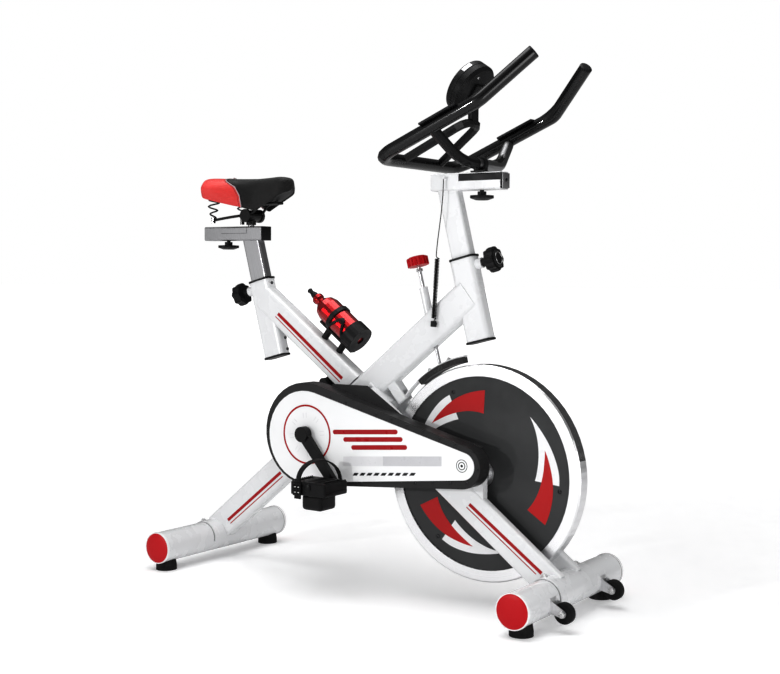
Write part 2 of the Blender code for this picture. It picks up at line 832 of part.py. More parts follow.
def height_knob(name, frame, knob_z, sign, empty):
    """A lobed knob on the pin that holds a post, pointing along local X."""
    turn = Matrix.Rotation(math.radians(90 * sign), 4, "Y")
    grip = plate(name, [lobed(KNOB_RADIUS, KNOB_LOBES, KNOB_LOBE_DEPTH)], KNOB_THICK)
    place = frame @ Matrix.Translation((sign * KNOB_REACH, 0, knob_z)) @ turn
    part(grip, "plastic_black", place, empty)
    tip = POST_SIZE[0] / 2 + 0.0006
    reach = KNOB_REACH - tip
    pin = helper(
        cylinder(name + "_pin", PIN_RADIUS, reach, 20),
        place @ Matrix.Translation((0, 0, -reach / 2)),
        empty,
    )
    neck_length = KNOB_REACH - BOSS_REACH - 0.001
    neck = helper(
        cylinder(name + "_neck", 0.010, neck_length, 24),
        place @ Matrix.Translation((0, 0, -neck_length / 2)),
        empty,
    )
    face = helper(
        turned(
            name + "_face",
            [(0.0, 0.0035), (0.015, 0.0035), (0.018, 0.0), (0.018, -0.004), (0.0, -0.004)],
            20,
        ),
        place @ Matrix.Translation((0, 0, KNOB_THICK / 2)),
        empty,
    )
    join(grip, neck, pin, face)


def clamp_knob(name, x, rail_z, empty):
    """The flat hand wheel under a rail, with the screw that clamps the slider."""
    screw = 0.0050
    top = RAIL_WALL - GAP
    profile = [
        (0.0, top),
        (screw, top),
        (screw, -0.003),
        (0.010, -0.003),
        (0.010, -0.0110),
        (CLAMP_RADIUS, -0.0120),
        (CLAMP_RADIUS, -0.0180),
        (0.014, -0.0225),
        (0.0, -0.0225),
    ]
    wheel = part(turned(name, profile, 20), "plastic_black", at(x, 0, rail_z), empty)
    return wheel


def clamp_holes():
    for end, x, heights in (("seat", SEAT_CLAMP_X, SEAT_RAIL_Z), ("handlebar", BAR_CLAMP_X, BAR_RAIL_Z)):
        hole = helper(cylinder(end + "_clamp_hole", 0.0057, 0.01, 20), at(x, 0, heights[0]))
        carve(bpy.data.objects[end + "_post"], hole)


# ---------------------------------------------------------------- saddle


def between(a, b, t):
    return a + (b - a) * t


def saddle_section(x):
    """Half width, top, skirt edge and inner floor of the saddle at x."""
    t = (x - SADDLE_REAR_X) / (SADDLE_NOSE_X - SADDLE_REAR_X)
    broad = 0.5 + 0.5 * math.cos(math.pi * min(1.0, max(0.0, (t - 0.12) / 0.55)))
    half = between(0.030, 0.098, broad)
    ends = min(1.0, math.sqrt(max(0.0, 1 - (max(0.0, 0.16 - t) / 0.16) ** 2)))
    nose = min(1.0, math.sqrt(max(0.0, 1 - (max(0.0, t - 0.90) / 0.10) ** 2)))
    half *= max(0.30, ends) * max(0.35, nose)
    top = 0.992 - 0.006 * math.sin(math.pi * t) - 0.010 * max(0.0, (t - 0.85) / 0.15) ** 2
    top -= 0.012 * max(0.0, (0.10 - t) / 0.10) ** 2
    edge = between(0.944, 0.905, min(1.0, t / 0.60)) + 0.048 * max(0.0, (t - 0.62) / 0.38)
    floor = min(top - 0.020, max(edge + 0.002, 0.928))
    return half, top, edge, floor


def saddle():
    rings = []
    for i in range(SADDLE_STATIONS + 1):
        spread = 0.5 - 0.5 * math.cos(math.pi * i / SADDLE_STATIONS)
        x = between(SADDLE_REAR_X, SADDLE_NOSE_X, spread)
        half, top, edge, floor = saddle_section(x)
        side = [
            (0.45 * half, top - 0.001),
            (0.80 * half, top - 0.007),
            (0.97 * half, top - 0.022),
            (half, between(top, edge, 0.62)),
            (0.95 * half, edge + 0.002),
            (0.88 * half, edge),
            (0.82 * half, edge + 0.004),
            (0.74 * half, floor),
        ]
        right = [(x, -y, z) for y, z in side]
        left = [(x, y, z) for y, z in reversed(side)]
        rings.append([(x, 0, top), *right, *left])
    part(loft("saddle", rings), "saddle_leather", Matrix.Identity(4), "seat_slide_axis")


def spring_points(y, low, high):
    turns = 2.5
    count = 20
    points = []
    for i in range(count + 1):
        t = i / count
        angle = 2 * math.pi * turns * t
        radius = between(0.006, 0.016, t)
        points.append((0.030 + radius * math.cos(angle), y + radius * math.sin(angle), between(low, high, t)))
    return points


def saddle_frame():
    """The clamp on the stub, its two rail wires and the pair of coil springs."""
    clamp = part(
        cylinder("saddle_frame", 0.0145, 0.052, 20),
        "grip_black",
        at(STUB_X + 0.004, 0, CLAMP_Z) @ SIDEWAYS,
        "seat_slide_axis",
    )
    seat = helper(
        cylinder("saddle_clamp_seat", 0.0125, 0.020, 24), at(STUB_X, 0, STUB_TOP_Z - 0.004), "seat_slide_axis"
    )
    heads = []
    for sign in (-1, 1):
        side = "right" if sign < 0 else "left"
        heads.append(
            helper(
                cylinder(f"clamp_head_{side}", 0.0170, 0.008, 20),
                at(STUB_X + 0.004, sign * 0.026, CLAMP_Z) @ SIDEWAYS,
            )
        )
        wire = rounded_path(
            [
                (0.0300, sign * SPRING_Y, SPRING_LOW_Z),
                (0.066, sign * 0.036, CLAMP_Z - 0.004),
                (0.130, sign * 0.020, CLAMP_Z + 0.004),
                (0.152, sign * 0.014, 0.9215),
                (0.205, sign * 0.009, 0.9235),
            ],
            0.02,
            3,
        )
        heads.append(helper(tube(f"saddle_wire_{side}", wire, RAIL_WIRE, 2), Matrix.Identity(4)))
        bolt = cylinder(f"spring_bolt_{side}", 0.0055, 0.014, 12)
        heads.append(helper(bolt, at(0.0300, sign * SPRING_Y, SPRING_LOW_Z)))
        low = SPRING_LOW_Z + 0.004
        high = saddle_section(0.030)[3] - 0.0035
        coil = spring_points(sign * SPRING_Y, low, high)
        heads.append(helper(tube(f"saddle_spring_{side}", coil, 0.0022, 1), Matrix.Identity(4)))
    join(clamp, seat, *heads)
    stub_hole = helper(
        cylinder("saddle_stub_outside", STUB_RADIUS + GAP, 0.05, 32), at(STUB_X, 0, STUB_TOP_Z - 0.025 + GAP)
    )
    carve(clamp, stub_hole)


# ---------------------------------------------------------------- handlebar and console


def handlebar():
    """The looped main tube, the cross strut, the console hoop and the two arm rests."""
    main_path = [TIP, ARM_BEND, REAR_CORNER]
    ends = [*main_path, *[mirrored(p) for p in reversed(main_path)]]
    main_points = rounded_path(ends, 0.042, 5)
    main_tube = part(
        tube("handlebar", main_points, TUBE_RADIUS, 4),
        "grip_black",
        Matrix.Identity(4),
        "handlebar_slide_axis",
    )
    strut_points = rounded_path(
        [STRUT_TOP, STRUT_LOW, mirrored(STRUT_LOW), mirrored(STRUT_TOP)], 0.045, 4
    )
    hoop_points = hoop_path()
    tools = [
        helper(tube("handlebar_strut", strut_points, STRUT_RADIUS, 3), Matrix.Identity(4)),
        helper(tube("console_hoop", hoop_points, HOOP_RADIUS, 2), Matrix.Identity(4)),
    ]
    slope = math.atan2(ARM_BEND[2] - REAR_CORNER[2], ARM_BEND[0] - REAR_CORNER[0])
    for sign in (-1, 1):
        x, y, z = PAD_CENTRE
        tools.append(
            helper(block(f"arm_rest_{sign + 1}", PAD_SIZE, 0.002), at(x, sign * y, z, -slope))
        )
    join(main_tube, *tools)


def hoop_path():
    return rounded_path([HOOP_FOOT, HOOP_TOP, mirrored(HOOP_TOP), mirrored(HOOP_FOOT)], 0.030, 3)


def console():
    """The round display, facing the rider, on its short post."""
    x, z = CONSOLE_CENTRE
    rim = CONSOLE_RADIUS
    half = CONSOLE_HALF
    profile = [
        (0.0, half - 0.003),
        (rim - 0.009, half - 0.003),
        (rim - 0.007, half),
        (rim - 0.002, half),
        (rim, half - 0.002),
        (rim, -half + 0.006),
        (rim - 0.006, -half),
        (0.030, -half - 0.002),
        (0.0, -half - 0.002),
    ]
    body = part(
        turned("console", profile, 28), "plastic_black", at(x, 0, z, CONSOLE_TILT), "handlebar_slide_axis"
    )
    low = HOOP_TOP[2]
    high = z - 0.004
    neck = helper(
        cylinder("console_post", 0.012, high - low, 24), at(HOOP_TOP[0] + 0.001, 0, (high + low) / 2)
    )
    back = helper(
        block("console_back", (0.040, 0.050, 0.012), 0.003),
        at(x, 0, z, CONSOLE_TILT) @ Matrix.Translation((0, 0, -half - 0.004)),
    )
    hoop = helper(tube("console_hoop_outside", hoop_path(), HOOP_RADIUS + GAP, 2), Matrix.Identity(4))
    join(body, neck, back)
    carve(body, hoop)


# ---------------------------------------------------------------- flywheel, crank, belt, guard


def flywheel():
    bevel = 0.003
    profile = [
        (WHEEL_RADIUS - bevel, RIM_HALF),
        (WHEEL_RADIUS, RIM_HALF - bevel),
        (WHEEL_RADIUS, -RIM_HALF + bevel),
        (WHEEL_RADIUS - bevel, -RIM_HALF),
        (RIM_INNER, -RIM_HALF),
        (RIM_INNER, RIM_HALF),
    ]
    place = at(WHEEL[0], 0, WHEEL[1]) @ SIDEWAYS
    part(turned("flywheel_rim", profile, WHEEL_STEPS, closed=True), "chrome", place, "wheel_axis")
    disc = ring("flywheel_disc", HUB_RADIUS + GAP, RIM_INNER - GAP, 2 * DISC_HALF, WHEEL_STEPS)
    part(disc, "disc_grey", place, "wheel_axis")
    pulley_low = BELT_Y - BELT_WIDTH / 2 - 0.001
    pulley_high = BELT_Y + BELT_WIDTH / 2 + 0.001
    hub = [
        (0.0, pulley_high),
        (SMALL_PULLEY, pulley_high),
        (SMALL_PULLEY, pulley_low),
        (AXLE_RADIUS, pulley_low),
        (AXLE_RADIUS, RIM_HALF + 0.004),
        (0.022, RIM_HALF + 0.004),
        (0.022, DISC_HALF),
        (HUB_RADIUS, DISC_HALF),
        (HUB_RADIUS, -DISC_HALF),
        (0.022, -DISC_HALF),
        (0.022, -RIM_HALF - 0.004),
        (AXLE_RADIUS, -RIM_HALF - 0.004),
        (AXLE_RADIUS, -LEG_OUTER_Y - 0.006),
        (0.0, -LEG_OUTER_Y - 0.006),
    ]
    part(turned("flywheel_hub", hub, 22), "steel", place, "wheel_axis")


def crank_set():
    """The spindle with the drive pulley, and the two arms with their pedal axles."""
    right_face = RIGHT_ARM_Y - ARM_THICK / 2
    left_face = LEFT_ARM_Y - ARM_THICK / 2
    inset = 0.009
    low = BELT_Y - BELT_WIDTH / 2 - 0.001
    high = BELT_Y + BELT_WIDTH / 2 + 0.001
    profile = [
        (0.0, right_face + inset),
        (SPINDLE_END, right_face + inset),
        (SPINDLE_END, right_face - 0.004),
        (SPINDLE_RADIUS, right_face - 0.004),
        (SPINDLE_RADIUS, high),
        (BIG_PULLEY, high),
        (BIG_PULLEY, low),
        (SPINDLE_RADIUS, low),
        (SPINDLE_RADIUS, -left_face + 0.004),
        (SPINDLE_END, -left_face + 0.004),
        (SPINDLE_END, -left_face - inset),
        (0.0, -left_face - inset),
    ]
    place = at(CRANK[0], 0, CRANK[1]) @ SIDEWAYS
    part(turned("crank_spindle", profile, 32), "steel", place, "crank_axis")
    crank_arm("right", -1, 0.0, RIGHT_ARM_Y)
    crank_arm("left", 1, math.pi, LEFT_ARM_Y)


def pedal_point(turn):
    angle = CRANK_ANGLE + turn
    return (CRANK[0] + CRANK_LENGTH * math.cos(angle), CRANK[1] + CRANK_LENGTH * math.sin(angle))


def crank_arm(side, sign, turn, arm_y):
    end = pedal_point(turn)
    arm = part(
        plate(
            f"crank_arm_{side}",
            [capsule((CRANK[0], CRANK[1], 0.0130), (end[0], end[1], 0.0108), 14)],
            ARM_THICK,
        ),
        "plastic_black",
        at(0, sign * arm_y, 0) @ SIDEWAYS,
        "crank_axis",
    )
    inner_face = arm_y - ARM_THICK / 2
    outer_face = arm_y + ARM_THICK / 2
    boss = helper(
        cylinder(f"crank_boss_{side}", 0.0185, ARM_THICK + 0.005, 24),
        at(CRANK[0], sign * (arm_y + 0.0015), CRANK[1]) @ SIDEWAYS,
    )
    socket = helper(
        cylinder(f"crank_socket_{side}", SPINDLE_END + GAP, 0.020, 20),
        at(CRANK[0], sign * (inner_face + 0.0095 - 0.010), CRANK[1]) @ SIDEWAYS,
    )
    axle_end = arm_y + PEDAL_OUT + PEDAL_SIZE[1] / 2 - 0.004
    axle = helper(
        cylinder(f"pedal_axle_{side}", PEDAL_AXLE, axle_end - inner_face - 0.002, 20),
        at(end[0], sign * (axle_end + inner_face + 0.002) / 2, end[1]) @ SIDEWAYS,
    )
    shoulder = helper(
        cylinder(f"pedal_shoulder_{side}", 0.0085, 0.0025, 20),
        at(end[0], sign * (outer_face + 0.001), end[1]) @ SIDEWAYS,
    )
    join(arm, boss, axle, shoulder)
    carve(arm, socket)


def belt():
    """The closed belt round both pulleys."""
    inner = GAP
    outer = inner + BELT_THICK
    first = (CRANK[0], CRANK[1], BIG_PULLEY)
    second = (WHEEL[0], WHEEL[1], SMALL_PULLEY)
    loops = [
        capsule(grown(first, outer), grown(second, outer), 20),
        capsule(grown(first, inner), grown(second, inner), 20),
    ]
    part(plate("drive_belt", loops, BELT_WIDTH), "rubber_black", at(0, -BELT_Y, 0) @ SIDEWAYS)


def guard():
    """The two-piece belt guard: black housing with a raised inner cover, and its white plate."""
    depth = GUARD_BACK_Y - GUARD_FACE_Y
    housing = part(
        plate("guard_housing", [capsule(GUARD_REAR, GUARD_FRONT, GUARD_STEPS)], depth),
        "plastic_black",
        at(0, (GUARD_BACK_Y + GUARD_FACE_Y) / 2, 0) @ SIDEWAYS,
    )
    back_inner = GUARD_BACK_Y - 0.0035
    lip_inner = GUARD_FACE_Y + 0.0030
    room = helper(
        plate(
            "guard_room",
            [capsule(grown(GUARD_REAR, -GUARD_SKIN), grown(GUARD_FRONT, -GUARD_SKIN), GUARD_STEPS)],
            back_inner - lip_inner,
        ),
        at(0, (back_inner + lip_inner) / 2, 0) @ SIDEWAYS,
    )
    mouth = helper(
        plate("guard_mouth", [capsule(grown(PLATE_REAR, GAP), grown(PLATE_FRONT, GAP), GUARD_STEPS)], 0.012),
        at(0, GUARD_FACE_Y, 0) @ SIDEWAYS,
    )
    ridge = [*COVER_RIDGE, (GUARD_FRONT[0] + 0.01, GUARD_FRONT[1]), (GUARD_REAR[0], GUARD_REAR[1])]
    cover = helper(
        plate("guard_inner_cover", [ridge], 0.0025), at(0, GUARD_BACK_Y - 0.00075, 0) @ SIDEWAYS
    )
    crank_hole = helper(
        cylinder("guard_crank_hole", SPINDLE_RADIUS + 0.003, 0.05, 28),
        at(CRANK[0], GUARD_BACK_Y, CRANK[1]) @ SIDEWAYS,
    )
    axle_hole = helper(
        cylinder("guard_axle_hole", AXLE_RADIUS + 0.002, 0.05, 24),
        at(WHEEL[0], GUARD_BACK_Y, WHEEL[1]) @ SIDEWAYS,
    )
    stand_y = (GUARD_BACK_Y - LEG_OUTER_Y - 0.0005) / 2
    studs = [
        helper(
            cylinder(f"guard_stud_{i}", 0.007, -LEG_OUTER_Y - GUARD_BACK_Y - 0.0005 + 0.002, 16),
            at(x, stand_y - 0.001, z) @ SIDEWAYS,
        )
        for i, (x, z) in enumerate(((0.600, 0.379), (0.740, 0.285)))
    ]
    join(housing, cover, *studs)
    carve(housing, room, mouth, crank_hole, axle_hole)
    thick = PLATE_Y[1] - PLATE_Y[0]
    face = part(
        plate("guard_plate", [capsule(PLATE_REAR, PLATE_FRONT, GUARD_STEPS)], thick),
        "guard_white",
        at(0, (PLATE_Y[0] + PLATE_Y[1]) / 2, 0) @ SIDEWAYS,
    )
    spindle_hole = helper(
        cylinder("plate_crank_hole", SPINDLE_RADIUS + 0.003, 0.03, 28),
        at(CRANK[0], PLATE_Y[0], CRANK[1]) @ SIDEWAYS,
    )
    carve(face, spindle_hole)


# ---------------------------------------------------------------- pedals


def pedal(side, sign, turn, y, tilt):
    end = pedal_point(turn)
    empty = f"pedal_axis_{side}"
    place = at(end[0], y, end[1], tilt)
    cage_place = place @ Matrix.Translation((0, 0, -PEDAL_DROP))
    body = part(block(f"pedal_{side}", PEDAL_SIZE, 0.004), "plastic_black", cage_place, empty)
    weight = helper(
        block(f"pedal_block_{side}", PEDAL_BLOCK, 0.008),
        cage_place @ Matrix.Translation((0, 0, -(PEDAL_SIZE[2] + PEDAL_BLOCK[2]) / 2 + 0.002)),
    )
    bore = helper(
        cylinder(f"pedal_bore_{side}", PEDAL_AXLE + 0.0006, 0.12, 24), place @ SIDEWAYS
    )
    windows = [
        helper(
            block(f"pedal_window_{side}_{i}", (0.012, 0.062, 0.06)),
            place @ Matrix.Translation((x, 0, 0)),
        )
        for i, x in enumerate((-0.0375, 0.0375))
    ]
    join(body, weight)
    carve(body, bore, *windows)
    low = PEDAL_SIZE[2] / 2 - PEDAL_DROP + GAP
    inner = [(STRAP_HALF * math.cos(a), low + STRAP_RISE * math.sin(a)) for a in half_circle()]
    outer_half = STRAP_HALF + STRAP_THICK
    outer_rise = STRAP_RISE + STRAP_THICK
    outer = [(outer_half * math.cos(a), low + outer_rise * math.sin(a)) for a in half_circle()]
    strap = plate(f"toe_strap_{side}", [outer + inner[::-1]], STRAP_WIDTH)
    turned_place = place @ Matrix.Rotation(-sign * STRAP_TURN, 4, "Z") @ SIDEWAYS
    part(strap, "rubber_black", turned_place, empty)
    trim_y = PEDAL_OUT - ARM_THICK / 2 - STRAP_CLEARANCE
    trim = helper(
        block(f"strap_trim_{side}", (0.12, 0.04, 0.12)),
        place @ Matrix.Translation((0, -sign * (trim_y + 0.02), low + STRAP_RISE / 2)),
    )
    carve(strap, trim)
    tail_y = PEDAL_SIZE[1] / 2 + GAP + STRAP_TAIL[1] / 2
    tail_z = low + 0.006 - STRAP_TAIL[2] / 2
    tail = helper(
        block(f"strap_tail_{side}", STRAP_TAIL),
        place @ Matrix.Translation((-0.0270, sign * tail_y, tail_z)),
    )
    join(strap, tail)


def half_circle(steps=16):
    return [math.pi * i / steps for i in range(steps + 1)]


# ---------------------------------------------------------------- brake, bottle, rollers, lead


def tension_place():
    return at(TENSION_TOP[0], 0, TENSION_TOP[1], -TENSION_LEAN)


def tension_control():
    """The red knob on its rod, which runs down through the rear beam to the brake lever."""
    place = tension_place()
    rod_top = -0.008
    rod = part(
        cylinder("tension_rod", ROD_RADIUS, ROD_END + rod_top, 20),
        "steel",
        place @ Matrix.Translation((0, 0, (rod_top - ROD_END) / 2)),
        "tension_axis",
    )
    shoulder = helper(
        cylinder("tension_rod_nut", 0.0075, 0.006, 6), place @ Matrix.Translation((0, 0, -0.020))
    )
    join(rod, shoulder)
    knob = part(
        plate("tension_knob", [lobed(0.0255, 14, 0.0022)], 0.020),
        "cap_red",
        place,
        "tension_axis",
    )
    hole = helper(
        cylinder("tension_knob_hole", ROD_RADIUS + GAP, 0.010, 20),
        place @ Matrix.Translation((0, 0, -0.0127)),
    )
    carve(knob, hole)


def wheel_arc(radius, angles, steps):
    """Points round the flywheel's centre, with angles measured rearwards from the top."""
    return arc(WHEEL, radius, 90 + angles[0], 90 + angles[1], steps)


def brake():
    """The felt pad over the flywheel and the leaf that carries it."""
    outline = wheel_arc(PAD_ARC[1], PAD_ANGLES, 12) + wheel_arc(PAD_ARC[0], PAD_ANGLES, 12)[::-1]
    pad = plate("brake_pad", [outline], 0.030)
    part(pad, "felt_black", at(0, 0, 0) @ SIDEWAYS, "brake_axis")
    strip = wheel_arc(LEVER_ARC[1], LEVER_ANGLES, 16) + wheel_arc(LEVER_ARC[0], LEVER_ANGLES, 16)[::-1]
    lever = part(
        plate("brake_lever", [strip], LEVER_WIDTH), "frame_white", at(0, 0, 0) @ SIDEWAYS, "brake_axis"
    )
    eye = helper(
        cylinder("brake_lever_eye", 0.0070, LEVER_WIDTH, 24),
        at(LEVER_PIVOT[0], 0, LEVER_PIVOT[1]) @ SIDEWAYS,
    )
    eye_bore = helper(
        cylinder("brake_lever_bore", LEVER_PIN + GAP, 0.04, 24),
        at(LEVER_PIVOT[0], 0, LEVER_PIVOT[1]) @ SIDEWAYS,
    )
    join(lever, eye)
    carve(lever, eye_bore)


def bottle():
    place = at(BOTTLE_BASE[0], 0, BOTTLE_BASE[1], BOTTLE_TILT)
    r = BOTTLE_RADIUS
    profile = [
        (0.0, 0.1700),
        (0.0090, 0.1700),
        (0.0135, 0.1650),
        (0.0140, 0.1560),
        (0.0115, 0.1490),
        (0.0180, 0.1420),
        (0.0270, 0.1330),
        (r, 0.1180),
        (r, 0.0040),
        (r - 0.003, 0.0005),
        (0.0, 0.0005),
    ]
    part(turned("bottle", profile, 24), "bottle_red", place, "bottle_axis")
    spout = [
        (0.0, 0.1960),
        (0.0050, 0.1960),
        (0.0068, 0.1935),
        (0.0052, 0.1860),
        (0.0085, 0.1760),
        (0.0085, 0.1703),
        (0.0, 0.1703),
    ]
    part(turned("bottle_spout", spout, 16), "plastic_black", place, "bottle_axis")


def bottle_cage():
    """A backbone on two feet, a cup, an upper band and the curved strip between them."""
    place = at(BOTTLE_BASE[0], 0, BOTTLE_BASE[1], BOTTLE_TILT)
    inner = BOTTLE_RADIUS + 0.0006
    cup_profile = [
        (CAGE_OUTER, 0.030),
        (CAGE_OUTER, -0.0035),
        (0.010, -0.0035),
        (0.010, -0.0003),
        (inner, -0.0003),
        (inner, 0.030),
    ]
    cage = part(turned("bottle_cage", cup_profile, 24, closed=True), "plastic_black", place)
    band = helper(
        ring("cage_band", inner, CAGE_OUTER, 0.011, 24), place @ Matrix.Translation((0, 0, 0.083))
    )
    spine_x = (inner + CAGE_OUTER + 0.003) / 2
    spine = helper(
        block("cage_spine", (CAGE_OUTER + 0.003 - inner, 0.020, CAGE_LENGTH), 0.001, 1),
        place @ Matrix.Translation((-spine_x, 0, CAGE_LENGTH / 2 - 0.003)),
    )
    beam_place, beam_length = along(*FRONT_BEAM)
    beam_size = (FRONT_BEAM_SIZE[0] + 2 * GAP, FRONT_BEAM_SIZE[1] + 0.02)
    beam_outside = helper(box_tube("front_beam_outside", beam_length, beam_size, 0.004), beam_place)
    feet = [
        helper(
            cylinder(f"cage_foot_{i}", 0.0085, 0.036, 20),
            place
            @ Matrix.Translation((-CAGE_OUTER - 0.015, 0, height))
            @ Matrix.Rotation(math.radians(90), 4, "Y"),
        )
        for i, height in enumerate((0.030, 0.085))
    ]
    rings = []
    steps = 12
    strip_inner = inner + 0.0009
    for i in range(steps + 1):
        t = i / steps
        height = between(0.024, 0.083, t)
        middle = math.radians(-90 + 34 * math.sin(math.pi * (2 * t - 0.5)))
        spread = 0.19
        section = []
        for radius, angle in (
            (strip_inner, middle - spread),
            (CAGE_OUTER, middle - spread),
            (CAGE_OUTER + 0.0006, middle),
            (CAGE_OUTER, middle + spread),
            (strip_inner, middle + spread),
            (strip_inner + 0.0006, middle),
        ):
            section.append((radius * math.cos(angle), radius * math.sin(angle), height))
        rings.append(section)
    strip = helper(loft("cage_strip", rings), place)
    join(cage, band, spine, strip, *feet)
    carve(cage, beam_outside)


def roller(side, sign):
    """A transport wheel and the small fork that holds it to the front bar."""
    y = sign * ROLLER_Y
    edge = 0.0025
    profile = [
        (ROLLER_RADIUS - edge, ROLLER_HALF),
        (ROLLER_RADIUS, ROLLER_HALF - edge),
        (ROLLER_RADIUS, -ROLLER_HALF + edge),
        (ROLLER_RADIUS - edge, -ROLLER_HALF),
        (0.0045, -ROLLER_HALF),
        (0.0045, ROLLER_HALF),
    ]
    empty = f"roller_axis_{side}"
    place = at(ROLLER_X, y, ROLLER_Z) @ SIDEWAYS
    part(turned(f"transport_wheel_{side}", profile, 22, closed=True), "rubber_black", place, empty)
    outer = BAR_RADIUS + GAP + 0.0018
    inner = BAR_RADIUS - BAR_WALL
    bracket = part(
        ring(f"wheel_bracket_{side}", inner, outer, 2 * FORK_HALF, BAR_STEPS),
        "steel",
        at(FRONT_BAR_X, y, BAR_Z) @ SIDEWAYS,
    )
    window = helper(
        block(f"bracket_window_{side}", (0.05, 0.1, 0.034)), at(FRONT_BAR_X + 0.052, y, BAR_Z - 0.004)
    )
    keep_inside(bracket, window)
    cheek_outline = capsule(
        (FRONT_BAR_X + 0.036, BAR_Z - 0.005, 0.0135), (ROLLER_X, ROLLER_Z, 0.0085), 8
    )
    tools = []
    for i, offset in enumerate((-1, 1)):
        cheek_y = y + offset * (FORK_HALF - 0.001)
        tools.append(
            helper(
                plate(f"bracket_cheek_{side}_{i}", [cheek_outline], 0.002),
                at(0, cheek_y, 0) @ SIDEWAYS,
            )
        )
    pin = helper(
        cylinder(f"bracket_pin_{side}", 0.0040, 2 * FORK_HALF + 0.006, 20),
        at(ROLLER_X, y, ROLLER_Z) @ SIDEWAYS,
    )
    join(bracket, *tools, pin)
    carve(bracket, bar_cutter(f"front_bar_outside_{side}", FRONT_BAR_X, GAP))


def lead():
    """The sensor lead: a straight wire down the post, a curly length and its plug on the beam."""
    top = Vector((COIL_TOP[0], LEAD_Y, COIL_TOP[1]))
    base = Vector((COIL_BASE[0], LEAD_Y, COIL_BASE[1]))
    slant = (top - base).normalized()
    coil = tube_curve("lead_coil", [base, top], COIL_RADIUS, 3)
    part(coil, "rubber_black", Matrix.Identity(4))
    start = Vector((LEAD_TOP[0], LEAD_Y, LEAD_TOP[1]))
    end = top + slant * GAP
    low_handle = end + slant * 0.05
    high_handle = start + Vector((0.0, 0.0, -0.07))
    count = 14
    wire = []
    for i in range(count + 1):
        t = i / count
        wire.append(
            start * (1 - t) ** 3
            + high_handle * 3 * t * (1 - t) ** 2
            + low_handle * 3 * t**2 * (1 - t)
            + end * t**3
        )
    part(
        tube_curve("lead_wire", wire, LEAD_RADIUS, 2),
        "rubber_black",
        Matrix.Identity(4),
        "handlebar_height_axis",
    )
    grommet = helper(
        cylinder("lead_grommet", 0.0045, 0.006, 20),
        at(LEAD_TOP[0], LEAD_Y + 0.0010, LEAD_TOP[1] + 0.0033),
    )
    lug = helper(
        block("lead_lug", (0.008, 0.008, 0.006)),
        at(LEAD_TOP[0], -RAIL_WIDTH / 2 - 0.002, LEAD_TOP[1] + 0.0033),
    )
    join(bpy.data.objects["handlebar_post"], grommet, lug)
    plug_centre = base - slant * (0.0065 + GAP)
    plug = part(
        cylinder("lead_plug", 0.0068, 0.013, 24),
        "plastic_black",
        Matrix.Translation(plug_centre) @ slant.to_track_quat("Z", "Y").to_matrix().to_4x4(),
    )
    nose_length = -LEAD_Y - REAR_BEAM_SIZE[1] / 2 - GAP
    nose = helper(
        cylinder("lead_plug_nose", 0.0050, nose_length, 20),
        at(plug_centre.x, LEAD_Y + nose_length / 2, plug_centre.z) @ SIDEWAYS,
    )
    join(plug, nose)


# ---------------------------------------------------------------- assembly


def add_axes():
    add_empty("bike", at(-MIDDLE_X, 0, 0))
    add_empty("wheel_axis", at(WHEEL[0], 0, WHEEL[1]))
    add_empty("crank_axis", at(CRANK[0], 0, CRANK[1]))
    for side, turn, y in (("right", 0.0, -RIGHT_PEDAL_Y), ("left", math.pi, LEFT_PEDAL_Y)):
        end = pedal_point(turn)
        add_empty(f"pedal_axis_{side}", at(end[0], y, end[1]))
    for side, sign in (("right", -1), ("left", 1)):
        add_empty(f"roller_axis_{side}", at(ROLLER_X, sign * ROLLER_Y, ROLLER_Z))
    add_empty("seat_height_axis", upright_place(SEAT_TOP, SEAT_LEAN))
    add_empty("handlebar_height_axis", upright_place(HEAD_TOP, HEAD_LEAN))
    add_empty("seat_slide_axis", at(STUB_X, 0, SEAT_RAIL_Z[1]))
    add_empty("handlebar_slide_axis", at(STRUT_LOW[0], 0, BAR_RAIL_Z[1]))
    seat = upright_place(SEAT_TOP, SEAT_LEAN)
    head = upright_place(HEAD_TOP, HEAD_LEAN)
    add_empty("seat_knob_axis", seat @ Matrix.Translation((-KNOB_REACH, 0, SEAT_KNOB_Z)))
    add_empty("head_knob_axis", head @ Matrix.Translation((KNOB_REACH, 0, HEAD_KNOB_Z)))
    add_empty("seat_clamp_axis", at(SEAT_CLAMP_X, 0, SEAT_RAIL_Z[0]))
    add_empty("bar_clamp_axis", at(BAR_CLAMP_X, 0, BAR_RAIL_Z[0]))
    add_empty("tension_axis", tension_place())
    add_empty("brake_axis", at(LEVER_PIVOT[0], 0, LEVER_PIVOT[1]))
    add_empty("bottle_axis", at(BOTTLE_BASE[0], 0, BOTTLE_BASE[1], BOTTLE_TILT))


def build_frame():
    foot_bar("rear", 0.0, REAR_FOOT_Y)
    foot_bar("front", FRONT_BAR_X, FRONT_FOOT_Y)
    rear_beam()
    front_beam()
    for side, sign in (("right", -1), ("left", 1)):
        fork_leg(side, sign)
        roller(side, sign)
    front_wrap()
    upright("seat", SEAT_TOP, SEAT_LEAN, SEAT_TUBE_LENGTH, SEAT_KNOB_Z, -1)
    upright("head", HEAD_TOP, HEAD_LEAN, HEAD_TUBE_LENGTH, HEAD_KNOB_Z, 1)


def build_seat():
    slot = (STUB_X - 0.048, STUB_X + 0.046)
    post("seat", SEAT_TOP, SEAT_LEAN, SEAT_RAIL, SEAT_RAIL_Z, slot, "steel", True)
    seat_slider()
    saddle()
    saddle_frame()
    place = upright_place(SEAT_TOP, SEAT_LEAN)
    height_knob("seat_height_knob", place, SEAT_KNOB_Z, -1, "seat_knob_axis")
    clamp_knob("seat_slider_knob", SEAT_CLAMP_X, SEAT_RAIL_Z[0], "seat_clamp_axis")


